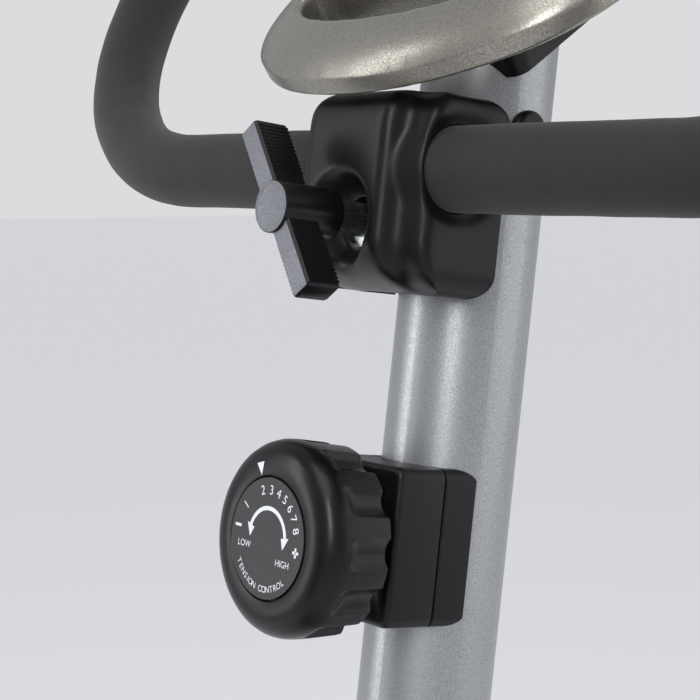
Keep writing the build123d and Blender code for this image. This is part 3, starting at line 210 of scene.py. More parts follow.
# %% Grip foam
foam, tree, where = new_finish("closed_cell_grip_foam")
cells = add_node(tree, "ShaderNodeTexVoronoi", {"Vector": where, "Scale": 1100.0})
fuzz = add_node(tree, "ShaderNodeTexNoise", {"Vector": where, "Scale": 160.0, "Detail": 4.0})
tone = add_node(tree, "ShaderNodeMix", {"Factor": fuzz.outputs["Fac"], 6: linear("#161617"),
                7: linear("#202021")}, data_type="RGBA")
heights = add_node(tree, "ShaderNodeMath", {0: cells.outputs["Distance"], 1: fuzz.outputs["Fac"]},
                   operation="ADD")
bump = add_node(tree, "ShaderNodeBump", {"Height": heights.outputs[0], "Strength": 0.35, "Distance": 0.0002})
shader = add_node(tree, "ShaderNodeBsdfPrincipled", {"Base Color": tone.outputs[2],
                  "Normal": bump.outputs["Normal"]})
finish_surface(tree, shader, Roughness=0.78, Sheen_Weight=0.12, Sheen_Roughness=0.5, Specular_IOR_Level=0.35)
print("made", foam.name)

# %% [markdown]
# ** Grained vinyl** covers the saddle. Two sizes of Voronoi cell make the leather-like grain,
# 2.2 mm and 0.9 mm, and the valleys are a little darker than the tops.

# %% Saddle vinyl
vinyl, tree, where = new_finish("grained_saddle_vinyl")
big = add_node(tree, "ShaderNodeTexVoronoi", {"Vector": where, "Scale": 450.0}, feature="SMOOTH_F1")
small = add_node(tree, "ShaderNodeTexVoronoi", {"Vector": where, "Scale": 1100.0})
grain = add_node(tree, "ShaderNodeMath", {0: big.outputs["Distance"], 1: small.outputs["Distance"]},
                 operation="ADD")
tone = add_node(tree, "ShaderNodeMix", {"Factor": big.outputs["Distance"], 6: linear("#1e1e20"),
                7: linear("#2d2d30")}, data_type="RGBA")
bump = add_node(tree, "ShaderNodeBump", {"Height": grain.outputs[0], "Strength": 0.3, "Distance": 0.0004})
shader = add_node(tree, "ShaderNodeBsdfPrincipled", {"Base Color": tone.outputs[2],
                  "Normal": bump.outputs["Normal"]})
finish_surface(tree, shader, Roughness=0.5, Sheen_Weight=0.08)
print("made", vinyl.name)

# %% [markdown]
# **The dial's label** is a printed disc of dark grey film with a coarse speckle. Its marks are
# white ink. **The screen** is a clear window over a grey-green liquid crystal.

# %% Label, ink, thread and screen
label_film = flake_paint("speckled_label_film", "#08090a", "#191a1d", 0.6, 0.1, 0.56, 0.05)


def plain_ink(name, colour, roughness=0.5, mottle=0.12):
    material, tree, where = new_finish(name)
    grit = add_node(tree, "ShaderNodeTexNoise", {"Vector": where, "Scale": 900.0, "Detail": 2.0})
    base = linear(colour)
    tone = add_node(tree, "ShaderNodeMix", {"Factor": grit.outputs["Fac"],
                    6: [c * (1 - mottle) for c in base[:3]] + [1.0], 7: base}, data_type="RGBA")
    shader = add_node(tree, "ShaderNodeBsdfPrincipled", {"Base Color": tone.outputs[2]})
    finish_surface(tree, shader, Roughness=roughness)
    return material


white_ink = plain_ink("white_print", "#dfe1e6")
thread = plain_ink("black_bonded_thread", "#3a3a3d", 0.6, 0.4)
screen_glass = plain_ink("grey_green_display", "#7b8478", 0.12, 0.05)
segment_ink = plain_ink("display_segments", "#20241f", 0.3)
belt_rubber = moulded("ribbed_belt_rubber", "#141415", "#1c1c1d", 0.55)
print("finishes made", len(bpy.data.materials))

# %% [markdown]
# Each part of the frame that keeps its solid shape now gets the finish of its real material.

# %% Finish the carried-over parts
finish_of = {
    "main_frame": frame_paint, "rear_stabiliser": frame_paint, "front_stabiliser": frame_paint,
    "magnet_bracket": frame_paint, "seat_height_nut": frame_paint, "seat_post": zinc,
    "handlebar_post": post_paint, "handlebar": drawn_steel, "stabiliser_bolts": zinc,
    "stabiliser_nuts": zinc, "post_bolts": zinc, "crank_axle": drawn_steel, "crank_nuts": zinc,
    "pedal_spindles": drawn_steel, "flywheel_axle": drawn_steel, "bearing_cups": drawn_steel,
    "cover_screws": zinc, "clamp_cap": zinc, "tee_sleeve": zinc, "tee_stud": zinc,
    "saddle_rails": zinc, "saddle_clamp": zinc, "seat_carriage": zinc, "brake_spring": drawn_steel,
    "crank_left": crank_paint, "crank_right": crank_paint, "flywheel": cast_iron,
    "brake_magnets": drawn_steel, "front_end_caps": black_abs, "rear_end_cap_left": black_abs,
    "rear_end_cap_right": black_abs, "transport_wheel_left": soft_rubber,
    "transport_wheel_right": soft_rubber, "drive_pulley": black_abs, "pedal_left": black_abs,
    "pedal_right": black_abs, "seat_sleeve": black_abs, "seat_height_knob": knob_abs,
    "seat_slider_knob": knob_abs, "saddle_shell": black_abs, "bar_end_caps": black_abs,
    "tension_housing_rear": black_abs, "tension_housing_front": black_abs, "post_plugs": black_abs,
    "console_body": black_abs, "cover_left": cover_abs, "cover_right": cover_abs,
    "tension_dial": label_film, "drive_belt": belt_rubber, "brake_cable": belt_rubber,
    "console_keys": key_rubber, "console_display": screen_glass, "console_rim": rim_paint,
    "pedal_strap_left": soft_rubber, "pedal_strap_right": soft_rubber, "foam_grips": foam,
    "saddle_pad": vinyl, "tension_knob": knob_abs, "tee_knob": knob_abs, "clamp_cover": black_abs,
}


def dress(obj, material):
    obj.data.materials.clear()
    obj.data.materials.append(material)


for name, material in finish_of.items():
    dress(nodes[name], material)
print("undressed", sorted(set(nodes) - set(finish_of)))


# %% [markdown]
# Most rebuilt parts are made from rows of points joined into a skin. One helper joins rows that
# run round a part, closes it where asked, and turns all its faces outwards.

# %% Skin helper
def skin(name, rows, material, close_rows=True, close_ends=False, join_ends=False, sharp=35):
    """Joins equal rows of points into a mesh object at the origin."""
    mesh = bpy.data.meshes.new(name)
    bm = bmesh.new()
    grid = [[bm.verts.new(p) for p in row] for row in rows]
    pairs = list(zip(grid, grid[1:])) + ([(grid[-1], grid[0])] if join_ends else [])
    for a, b in pairs:
        count = len(a) if close_rows else len(a) - 1
        for i in range(count):
            j = (i + 1) % len(a)
            bm.faces.new((a[i], a[j], b[j], b[i]))
    if close_ends:
        bm.faces.new(grid[0])
        bm.faces.new(list(reversed(grid[-1])))
    bmesh.ops.remove_doubles(bm, verts=bm.verts, dist=1e-7)
    bmesh.ops.recalc_face_normals(bm, faces=bm.faces)
    bm.to_mesh(mesh)
    bm.free()
    mesh.shade_smooth()
    mesh.set_sharp_from_angle(angle=math.radians(sharp))
    obj = bpy.data.objects.new(name, mesh)
    bpy.context.scene.collection.objects.link(obj)
    mesh.materials.append(material)
    return obj


def rounded(profile, radius, steps=4):
    """Rounds the corners of an open line of (r, h) points, in mm."""
    made = [profile[0]]
    for before, here, after in zip(profile, profile[1:], profile[2:]):
        a, b, c = Vector(before), Vector(here), Vector(after)
        cut = min(radius, (a - b).length * 0.45, (c - b).length * 0.45)
        p, q = b + (a - b).normalized() * cut, b + (c - b).normalized() * cut
        for i in range(steps + 1):
            t = i / steps
            made.append(tuple(p * (1 - t) ** 2 + b * 2 * t * (1 - t) + q * t**2))
    return made + [profile[-1]]


print("points on a rounded corner", len(rounded([(0, 0), (1, 0), (1, 1)], 0.2)))

# %% [markdown]
# **The tension knob** is one moulding: a smooth front rim that rolls back into twelve flutes for
# the fingers. It is a turned profile whose radius dips at each flute, so it is built as rings
# round the axis, with the dip faded in behind the rim.

# %% Tension knob
flutes = 12
flute_radius, flute_centre = 7.0, 38.9


def flute_dip(angle):
    """How deep a round-bottomed flute cuts below a 34.8 mm rim at an angle, in mm."""
    pitch = 2 * math.pi / flutes
    a = (angle + pitch / 2) % pitch - pitch / 2
    inside = flute_radius**2 - (flute_centre * math.sin(a)) ** 2
    return max(0.0, 34.8 - (flute_centre * math.cos(a) - math.sqrt(inside))) if inside > 0 else 0.0


knob_profile = [
    (3.05, 77.9, 0), (21.4, 77.9, 0), (21.45, 79.8, 0), (21.9, 80.3, 0), (23.2, 80.55, 0), (26.5, 80.5, 0),
    (29.0, 79.9, 0), (31.2, 78.8, 0), (33.0, 77.1, 0), (34.2, 74.9, 0), (34.8, 72.4, 0), (34.9, 70.6, 0.05),
    (34.9, 69.4, 0.35), (34.9, 68.2, 0.7), (34.9, 66.8, 0.92), (34.8, 65.0, 1), (34.5, 60.0, 1),
    (34.2, 55.0, 1), (33.9, 53.2, 1), (33.2, 52.3, 1), (32.0, 52.0, 1), (28.0, 52.0, 0), (28.0, 69.0, 0),
    (16.0, 69.0, 0), (16.0, 43.6, 0), (8.0, 43.6, 0), (8.0, 37.0, 0), (12.0, 37.0, 0), (12.0, 29.2, 0),
    (3.05, 29.2, 0),
]
rows = []
for r, h, depth in knob_profile:
    row = []
    for i in range(flutes * 26):
        a = 2 * math.pi * i / (flutes * 26)
        rr = r - depth * flute_dip(a)
        row.append(place(dial_centre, math.sin(a) * rr, math.cos(a) * rr, h))
    rows.append(row)
knob = skin("tension_knob_moulding", rows, knob_abs, join_ends=True, sharp=24)
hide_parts("tension_knob")
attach(knob, "tension_ring")
print("tension knob faces", len(knob.data.polygons))

# %% [markdown]
# **The print on the dial** is flat ink. The figures come from text curves turned into meshes,
# laid on the disc round its centre; the pointer is printed on the knob's rim, so it turns with it.

# %% Dial print
ink_height = 80.64


def ink_point(x, y, out=ink_height):
    return place(dial_centre, x, y, out)


def ink_text(words, size, angle, reach, upright=False, flip=False):
    """Points and faces of a word centred at a clock angle and reach from the middle, in mm."""
    curve = bpy.data.curves.new("words", "FONT")
    curve.body, curve.size, curve.align_x, curve.align_y = words, size, "CENTER", "CENTER"
    holder = bpy.data.objects.new("words", curve)
    bpy.context.scene.collection.objects.link(holder)
    bpy.context.view_layer.update()
    mesh = bpy.data.meshes.new_from_object(holder.evaluated_get(bpy.context.evaluated_depsgraph_get()))
    a = math.radians(angle)
    turn = 0.0 if upright else a + (math.pi if flip else 0.0)
    cx, cy = math.sin(a) * reach, math.cos(a) * reach
    points = []
    for v in mesh.vertices:
        x, y = v.co.x, v.co.y
        across, down = x * math.cos(turn) + y * math.sin(turn), y * math.cos(turn) - x * math.sin(turn)
        points.append((cx + across, cy + down))
    faces = [list(p.vertices) for p in mesh.polygons]
    bpy.data.objects.remove(holder)
    bpy.data.curves.remove(curve)
    bpy.data.meshes.remove(mesh)
    return points, faces


def ink_strip(inner, outer, start, end, steps=24):
    """A flat arc between two reaches and two clock angles."""
    points, faces = [], []
    for i in range(steps + 1):
        a = math.radians(start + (end - start) * i / steps)
        points += [(math.sin(a) * inner, math.cos(a) * inner), (math.sin(a) * outer, math.cos(a) * outer)]
    for i in range(steps):
        faces.append([2 * i, 2 * i + 1, 2 * i + 3, 2 * i + 2])
    return points, faces


def ink_mesh(name, bits, material, to_world=ink_point):
    mesh = bpy.data.meshes.new(name)
    verts, faces = [], []
    for points, bit_faces in bits:
        base = len(verts)
        verts += [to_world(x, y) for x, y in points]
        faces += [[base + i for i in f] for f in bit_faces]
    mesh.from_pydata(verts, [], faces)
    mesh.materials.append(material)
    obj = bpy.data.objects.new(name, mesh)
    bpy.context.scene.collection.objects.link(obj)
    return obj


dial_r = 21.07
bits = []
for figure, angle in zip("12345678", (-54, -16.4, 0.7, 16, 30, 44, 58, 73)):
    bits.append(ink_text(figure, 4.7, angle, 0.79 * dial_r))
bits.append(ink_text("LOW", 3.3, -106, 0.63 * dial_r, upright=True))
bits.append(ink_text("HIGH", 3.3, 126.5, 0.60 * dial_r, upright=True))
words = "TENSION CONTROL"
widths = [{"I": 0.55, " ": 0.75}.get(letter, 1.0) for letter in words]
gone = 0.0
for letter, wide in zip(words, widths):
    if letter != " ":
        angle = -121 - 102 * (gone + wide / 2) / sum(widths)
        bits.append(ink_text(letter, 3.2, angle, 0.84 * dial_r, flip=True))
    gone += wide
bits.append(ink_strip(0.46 * dial_r, 0.53 * dial_r, -70, 82))
for angle, way in ((-70, -1), (82, 1)):
    a0, a1 = math.radians(angle), math.radians(angle + way * 24)
    bits.append(([(math.sin(a0) * 0.39 * dial_r, math.cos(a0) * 0.39 * dial_r),
                  (math.sin(a0) * 0.60 * dial_r, math.cos(a0) * 0.60 * dial_r),
                  (math.sin(a1) * 0.47 * dial_r, math.cos(a1) * 0.47 * dial_r)], [[0, 1, 2]]))
for cx, cy, wide, tall in ((-17.2, 2.3, 3.6, 1.0), (17.0, -2.4, 3.4, 1.0), (17.0, -2.4, 1.0, 3.4)):
    w, t = wide / 2, tall / 2
    bits.append(([(cx - w, cy - t), (cx + w, cy - t), (cx + w, cy + t), (cx - w, cy + t)], [[0, 1, 2, 3]]))
dial_print = ink_mesh("dial_print", bits, white_ink)
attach(dial_print, "frame")

a = math.radians(-16.8)
tip, base, half = 1.05 * dial_r, 1.27 * dial_r, math.radians(4.4)
pointer = ink_mesh("pointer_print", [([(math.sin(a) * tip, math.cos(a) * tip),
                   (math.sin(a - half) * base, math.cos(a - half) * base),
                   (math.sin(a + half) * base, math.cos(a + half) * base)], [[0, 2, 1]])], white_ink,
                   lambda x, y: ink_point(x, y, 80.66))
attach(pointer, "tension_ring")
print("dial marks", len(dial_print.data.polygons))

# %% [markdown]
# **The T-knob** is a moulded lever with a boss in the middle. The boss is a turned profile with
# a shallow dish in its face, the lever a bar with eased edges.

# %% T-knob body
boss_corners = [(0.0, 92.9), (7.6, 93.1), (8.4, 93.5), (9.1, 93.2), (9.1, 68.1), (4.0, 68.1), (4.0, 84.0),
                (0.0, 84.0)]
boss_profile = rounded(boss_corners, 0.7, 3)
rows = []
for r, h in boss_profile:
    row = []
    for i in range(64):
        a = 2 * math.pi * i / 64
        row.append(place(clamp, math.sin(a) * r, math.cos(a) * r, h))
    rows.append(row)
boss = skin("tee_boss", rows, knob_abs, sharp=40)
turn = math.radians(36.0)
along = up * math.cos(turn) - right * math.sin(turn)
across = right * math.cos(turn) + up * math.sin(turn)
length, width, face, deep = 34.3, 4.75, 92.2, 78.0


def lever_row(t, ease):
    """A cross-section of the lever at t along it, drawn in by ease at its corners."""
    w, f, b, c = width - ease, face - ease, deep + ease, 0.9
    outline = [(-w + c, f), (w - c, f), (w, f - c), (w, b + c), (w - c, b), (-w + c, b), (-w, b + c),
               (-w, f - c)]
    return [clamp + (along * t + across * x + rider * h) * MM for x, h in outline]


steps = [(-length, 0.9), (-length + 0.3, 0.3), (-length + 0.9, 0.0), (-length / 2, 0.0), (length / 2, 0.0),
         (length - 0.9, 0.0), (length - 0.3, 0.3), (length, 0.9)]
lever = skin("tee_lever", [lever_row(t, e) for t, e in steps], knob_abs, close_ends=True, sharp=30)
# The faces turned square to the rider, on the front of the boss and the lever, take a lighter grey: a painted
# sheen for the light these faces catch.
knob_face_painted_sheen = flake_paint("painted_sheen_knob_face", "#5d5e65", "#6f7078", 0.8, 0.0, 0.5, 0.05)
for piece in (boss, lever):
    piece.data.materials.append(knob_face_painted_sheen)
    for polygon in piece.data.polygons:
        centre = Vector(polygon.center) - clamp
        if polygon.normal.dot(rider) > 0.85 and centre.dot(rider) > 91.5 * MM:
            polygon.material_index = 1
print("lever faces", len(lever.data.polygons))

# %% [markdown]
# **The lever's grip ribs** are the same small ridge repeated along both broad sides. That is a
# job for Geometry Nodes: a line of points, a rib placed on each, and the result realized.

# %% T-knob ribs by Geometry Nodes
def bake(obj):
    """The modifiers' result as a plain mesh object at the origin, with no modifier left."""
    bpy.context.view_layer.update()
    result = obj.evaluated_get(bpy.context.evaluated_depsgraph_get())
    mesh = bpy.data.meshes.new_from_object(result)
    old = obj.data
    obj.modifiers.clear()
    obj.data = mesh
    if old.users == 0:
        bpy.data.meshes.remove(old)
    return obj


def new_tree(name, sizes):
    """A geometry tree with named number inputs; returns the tree and its inputs."""
    tree = bpy.data.node_groups.new(name, "GeometryNodeTree")
    tree.interface.new_socket("Geometry", in_out="INPUT", socket_type="NodeSocketGeometry")
    for label, kind, default in sizes:
        socket = tree.interface.new_socket(label, in_out="INPUT", socket_type=kind)
        socket.default_value = default
    tree.interface.new_socket("Geometry", in_out="OUTPUT", socket_type="NodeSocketGeometry")
    inputs = tree.nodes.new("NodeGroupInput").outputs
    return tree, inputs


def end_tree(tree, geometry, material):
    """Realizes instances, sets the material and ends the tree."""
    real = add_node(tree, "GeometryNodeRealizeInstances", {"Geometry": geometry})
    made = add_node(tree, "GeometryNodeSetMaterial", {"Geometry": real.outputs["Geometry"],
                    "Material": material})
    out = tree.nodes.new("NodeGroupOutput")
    tree.links.new(made.outputs["Geometry"], out.inputs[0])


def run_tree(name, tree, values, mesh=None):
    """Runs a geometry tree on a mesh and returns the baked object."""
    obj = bpy.data.objects.new(name, mesh or bpy.data.meshes.new(name))
    bpy.context.scene.collection.objects.link(obj)
    modifier = obj.modifiers.new("nodes", "NODES")
    modifier.node_group = tree
    for item in tree.interface.items_tree:
        if item.item_type == "SOCKET" and item.in_out == "INPUT" and item.name in values:
            modifier[item.identifier] = values[item.name]
    return bake(obj)


rib_tree, given = new_tree("ribs_along_a_line", [("Count", "NodeSocketInt", 9),
                           ("Start", "NodeSocketVector", (0, 0, 0)), ("Step", "NodeSocketVector",
                           (0, 0, 0)), ("Turn", "NodeSocketVector", (0, 0, 0)),
                           ("Size", "NodeSocketVector", (0.001, 0.001, 0.001))])
line = add_node(rib_tree, "GeometryNodeMeshLine", {"Count": given["Count"], "Start Location": given["Start"],
                "Offset": given["Step"]})
block = add_node(rib_tree, "GeometryNodeMeshCube", {"Size": given["Size"]})
copies = add_node(rib_tree, "GeometryNodeInstanceOnPoints", {"Points": line.outputs["Mesh"],
                  "Instance": block.outputs["Mesh"], "Rotation": given["Turn"]})
end_tree(rib_tree, copies.outputs["Instances"], knob_abs)

lever_turn = Matrix((along, -across, rider)).transposed().to_euler()
ribs = []
for end in (-1, 1):
    for side in (-1, 1):
        start = clamp + (along * end * 13.0 + across * side * 4.58 + rider * 84.9) * MM
        ribs.append(run_tree(f"lever_ribs_{end + 1}_{side + 1}", rib_tree,
                    {"Count": 13, "Start": start, "Step": along * end * 1.6 * MM,
                    "Turn": Vector(lever_turn), "Size": Vector((0.8, 0.62, 13.0)) * MM}))
for piece in (boss, lever, *ribs):
    if piece is boss:
        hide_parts("tee_knob")
    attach(piece, "clamp_knob")
print("rib sets", len(ribs))

# %% [markdown]
# **The clamp cover** is one soft-cornered shell: two cheeks with a narrower block between them,
# flowing into each other. A row of points is drawn once round its plan, then stacked up the post,
# pulled in near the top and the bottom to round those edges.

# %% Clamp cover plan and edges
cover_low, cover_high, edge_round = -24.5, 46.0, 9.0
bar_up, bar_back = 19.6, 40.0
stud_drop = 0.6
heel_depth, heel_reach = 21.0, 18.5
brow_depth, brow_reach = 7.5, 15.0


def smooth(t):
    t = min(1.0, max(0.0, t))
    return t * t * (3 - 2 * t)


def resample(line, count):
    """The same open line with equally spaced points."""
    line = [Vector(p) for p in line]
    lengths = [0.0]
    for p, q in zip(line, line[1:]):
        lengths.append(lengths[-1] + (q - p).length)
    made, k = [], 0
    for i in range(count):
        want = lengths[-1] * i / (count - 1)
        while k < len(line) - 2 and lengths[k + 1] < want:
            k += 1
        span = lengths[k + 1] - lengths[k] or 1.0
        made.append(line[k].lerp(line[k + 1], (want - lengths[k]) / span))
    return made


half_plan = rounded([(36.0, 20.0), (36.0, 54.5), (25.5, 57.0), (22.0, 64.9), (0.0, 65.0)], 9.5, 10)
half_plan = resample(half_plan, 78)
plan = half_plan + [Vector((-p.x, p.y)) for p in reversed(half_plan[:-1])]


def edge_inset(y):
    """How far the wall is drawn in near the top and bottom edges, in mm."""
    gap = max(0.0, min(y - cover_low, cover_high - y, edge_round))
    return edge_round - math.sqrt(edge_round**2 - (edge_round - gap) ** 2)


def cover_row(y):
    pull = edge_inset(y)
    heel = heel_depth * (1 - math.sqrt(1 - max(0.0, 1 - (y - cover_low) / heel_reach) ** 2))
    brow = brow_depth * (1 - math.sqrt(1 - max(0.0, 1 - (cover_high - y) / brow_reach) ** 2))
    row = []
    for p in plan:
        x = p.x * (1 - pull / 42)
        out = 20 + (p.y - 20) * (1 - pull / 60)
        out += pull * 0.9 * (1 - smooth((p.y - 20) / 14))
        out -= (heel + brow) * smooth((p.y - 42) / 20)
        collar = 1 - smooth((math.hypot(out - bar_back, y - bar_up) - 15.8) / 5.5)
        if abs(x) > 20:
            x = math.copysign(abs(x) + (33.4 - abs(x)) * collar, x)
        reach = math.hypot(x, y + stud_drop)
        out -= 12.0 * (1 - smooth((reach - 9.2) / 9.0)) * smooth((out - 46.0) / 8.0)
        row.append(place(clamp, x, y, out))
    return row


heights = [cover_low + edge_round * (1 - math.cos(math.pi / 2 * i / 8)) for i in range(8)]
heights += [cover_low + edge_round + (cover_high - cover_low - 2 * edge_round) * i / 52 for i in range(53)]
heights += [cover_high - edge_round * (1 - math.cos(math.pi / 2 * i / 8)) for i in reversed(range(8))]


def cap_row(y, share):
    """Points between the cover's edge and the post, which close its top or bottom."""
    row = []
    for p in cover_row(y):
        local = p - clamp
        x, out = local.dot(right) / MM, local.dot(rider) / MM
        size = math.hypot(x, out)
        keep = share + (1 - share) * min(1.0, 26.2 / size)
        row.append(place(clamp, x * keep, y, out * keep))
    return row


rows = [cap_row(cover_low, s) for s in (0.0, 0.35, 0.7)] + [cover_row(y) for y in heights]
rows += [cap_row(cover_high, s) for s in (0.7, 0.35, 0.0)]
cover = skin("clamp_cover_shell", rows, black_abs, close_rows=False, join_ends=True, sharp=60)
bm = bmesh.new()
bm.from_mesh(cover.data)
inner_verts = [v for v in bm.verts if not v.is_boundary]
for _ in range(4):
    bmesh.ops.smooth_vert(bm, verts=inner_verts, factor=0.5, use_axis_x=True, use_axis_y=True,
                          use_axis_z=True)
bmesh.ops.holes_fill(bm, edges=[e for e in bm.edges if e.is_boundary], sides=0)
bmesh.ops.recalc_face_normals(bm, faces=bm.faces)
bm.to_mesh(cover.data)
bm.free()
print("cover faces before its holes", len(cover.data.polygons))


# %% [markdown]
# The cover needs a hole for the bar, right through it, and one for the knob's stud. Each is cut
# with a closed rod and an exact boolean, which leaves a clean edge.

# %% Cover holes
def cut_rod(name, start, end, radius, sides=64):
    """A closed rod, used to cut a round hole."""
    axis = (end - start).normalized()
    side = axis.orthogonal().normalized()
    other = axis.cross(side)
    rows = [[base + (side * math.cos(t) + other * math.sin(t)) * radius * MM
             for t in (2 * math.pi * i / sides for i in range(sides))] for base in (start, end)]
    return skin(name, rows, black_abs, close_ends=True)


def cut_away(obj, cutter):
    """Cuts one closed mesh out of another, and removes the cutter."""
    modifier = obj.modifiers.new("cut", "BOOLEAN")
    modifier.object, modifier.operation, modifier.solver = cutter, "DIFFERENCE", "EXACT"
    bake(obj)
    bpy.data.objects.remove(cutter)


bar_hole_radius, stud_hole_radius = 15.6, 8.9
bar_ends = [place(clamp, x, bar_up, bar_back) for x in (-50, 50)]
stud_ends = [place(clamp, 0, -stud_drop, out) for out in (22, 70)]
cut_away(cover, cut_rod("bar_hole", *bar_ends, bar_hole_radius))
cut_away(cover, cut_rod("knob_hole", *stud_ends, stud_hole_radius))
cover.data.shade_smooth()
cover.data.set_sharp_from_angle(angle=math.radians(50))
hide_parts("clamp_cover")
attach(cover, "frame")
print("cover faces", len(cover.data.polygons))

# %% [markdown]
# **The tension housing** is two plain boxes with softened corners that meet in a fine joint line.
# Both are hollowed by the post they straddle.

# %% Tension housing
housing_half_width, housing_half_height, housing_corner = 24, 28.5, 4
post_cut_radius = 25.02


def box_row(out, pull):
    """A rounded rectangle at one depth, drawn in by pull, in mm."""
    hx, hy, c = housing_half_width - pull, housing_half_height - pull, max(0.6, housing_corner - pull)
    row = []
    for sx, sy, start in ((1, 1, 0), (-1, 1, 90), (-1, -1, 180), (1, -1, 270)):
        for i in range(9):
            a = math.radians(start + 90 * i / 8)
            x, y = sx * (hx - c) + c * math.cos(a), sy * (hy - c) + c * math.sin(a)
            row.append(place(dial_centre, x, y, out))
    return row


def soft_box_piece(name, low, high, round_low, round_high):
    """A box from low to high along the rider's direction, rounded at both ends and cut by the post."""
    turns = [math.pi / 2 * i / 5 for i in range(6)]
    rows = [box_row(low + round_low * (1 - math.cos(t)), round_low * (1 - math.sin(t))) for t in turns]
    rows += [box_row(high - round_high * (1 - math.cos(t)), round_high * (1 - math.sin(t)))
             for t in reversed(turns)]
    piece = skin(name, rows, black_abs, close_ends=True, sharp=50)
    post = cut_rod("post_cut", dial_centre - up * 0.08, dial_centre + up * 0.08, post_cut_radius, 96)
    cut_away(piece, post)
    piece.data.shade_smooth()
    piece.data.set_sharp_from_angle(angle=math.radians(50))
    return piece


housing_rear = soft_box_piece("tension_housing_rear_shell", 3.0, 21.3, 1.6, 0.7)
housing_front = soft_box_piece("tension_housing_front_shell", 21.9, 43.3, 0.7, 2.2)
cut_away(housing_front, cut_rod("hub_hole", dial_centre + rider * 0.03, dial_centre + rider * 0.05, 12.3))
for piece, node in ((housing_rear, "tension_housing_rear"), (housing_front, "tension_housing_front")):
    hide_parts(node)
    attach(piece, "frame")
print("housing faces", len(housing_rear.data.polygons), len(housing_front.data.polygons))

# %% [markdown]
# **The console rim** is a thick U with rounded edges and a slot for the hand. A filled curve with
# a bevel rounds its outside and its slot alike, so it is drawn flat, made a mesh, and set on the
# console's slope.

# %% Console rim
console_foot = Vector((0.180, 0.0, 1.080))
slope = math.radians(33.0)
console_up = Vector((math.cos(slope), 0.0, math.sin(slope)))
console_out = Vector((-math.sin(slope), 0.0, math.cos(slope)))


def on_console(x, f, out):
    return console_foot + (right * x + console_up * f + console_out * out) * MM


def smooth_loop(points, count):
    """A closed Catmull-Rom loop through the points, then spaced evenly."""
    dense, n = [], len(points)
    for i in range(n):
        a, b, c, d = (Vector(points[(i + k) % n]) for k in (-1, 0, 1, 2))
        for j in range(16):
            t = j / 16
            square, cube = (2 * a - 5 * b + 4 * c - d) * t * t, (3 * b - a - 3 * c + d) * t**3
            dense.append(0.5 * ((2 * b) + (c - a) * t + square + cube))
    return resample(dense + [dense[0]], count + 1)[:-1]


half_rim = [(0, 0), (20, 1.2), (42, 6.2), (62, 15.5), (76, 26.5), (85, 40), (89, 54), (90, 72), (88.5, 100),
            (86, 135), (83.5, 165), (78, 179), (66, 185.5), (40, 186)]
rim_loop = smooth_loop(half_rim + [(-x, y) for x, y in reversed(half_rim[1:])], 220)
half_slot = [(0, 21.5), (22, 23.4), (40, 28.2), (50, 34.5), (53.5, 41.5), (50, 48.5), (40, 50.5), (20, 50.6)]
slot_loop = smooth_loop(half_slot + [(-x, y) for x, y in reversed(half_slot[1:])], 130)
half_well = [(0, 58), (45, 58), (68, 58.6), (75.5, 63), (77, 74), (77, 110), (77, 150), (76, 168),
             (70, 175), (50, 176)]
well_loop = smooth_loop(half_well + [(-x, y) for x, y in reversed(half_well[1:])], 160)


def rounded_plate(name, loops, thickness, bevel, material, steps=8):
    """A flat plate with holes and rounded edges, from closed loops of (x, f) points in mm."""
    curve = bpy.data.curves.new(name, "CURVE")
    curve.dimensions, curve.fill_mode = "2D", "BOTH"
    curve.extrude, curve.bevel_depth = (thickness / 2 - bevel), bevel
    curve.offset, curve.bevel_resolution = -bevel, steps
    for loop in loops:
        spline = curve.splines.new("POLY")
        spline.points.add(len(loop) - 1)
        for point, (x, y) in zip(spline.points, loop):
            point.co = (x, y, 0, 1)
        spline.use_cyclic_u = True
    holder = bpy.data.objects.new(name, curve)
    bpy.context.scene.collection.objects.link(holder)
    bpy.context.view_layer.update()
    mesh = bpy.data.meshes.new_from_object(holder.evaluated_get(bpy.context.evaluated_depsgraph_get()))
    bpy.data.objects.remove(holder)
    bpy.data.curves.remove(curve)
    bm = bmesh.new()
    bm.from_mesh(mesh)
    bmesh.ops.remove_doubles(bm, verts=bm.verts, dist=0.001)
    for v in bm.verts:
        v.co = on_console(v.co.x, v.co.y, v.co.z + thickness / 2)
    bmesh.ops.recalc_face_normals(bm, faces=bm.faces)
    bm.to_mesh(mesh)
    bm.free()
    mesh.materials.clear()
    mesh.materials.append(material)
    mesh.shade_smooth()
    mesh.set_sharp_from_angle(angle=math.radians(32))
    obj = bpy.data.objects.new(name, mesh)
    bpy.context.scene.collection.objects.link(obj)
    return obj


rim = rounded_plate("console_rim_frame", (rim_loop, slot_loop, well_loop), 28.0, 3.5, rim_paint, 5)
print("rim faces before its swell", len(rim.data.polygons))

# %% [markdown]
# The real rim isn't flat: its hand-hold swells from a thin outer edge to its full thickness at the
# slot, as a smooth roll that fits the palm. The flat plate is remeshed into even small faces, and
# each is then lowered by a rule that depends on how far it lies from the outline.

# %% Swell of the hand-hold
remesh = rim.modifiers.new("even", "REMESH")
remesh.mode, remesh.voxel_size = "VOXEL", 0.0016
bake(rim)
finder = KDTree(len(rim_loop))
for i, p in enumerate(rim_loop):
    finder.insert((p.x, p.y, 0), i)
finder.balance()
for v in rim.data.vertices:
    local = v.co - console_foot
    x, f, h = local.dot(right) / MM, local.dot(console_up) / MM, local.dot(console_out) / MM
    gap = finder.find((x, f, 0))[2]
    crown = 7.0 + 19.5 * min(1.0, gap / 38.0) ** 0.62
    blend = smooth((f - 62.0) / 45.0)
    top = crown + (28.0 - crown) * blend
    v.co = on_console(x, f, h * top / 28.0)
bm = bmesh.new()
bm.from_mesh(rim.data)
for _ in range(4):
    bmesh.ops.smooth_vert(bm, verts=bm.verts, factor=0.5, use_axis_x=True, use_axis_y=True, use_axis_z=True)
bm.to_mesh(rim.data)
bm.free()
rim.data.materials.clear()
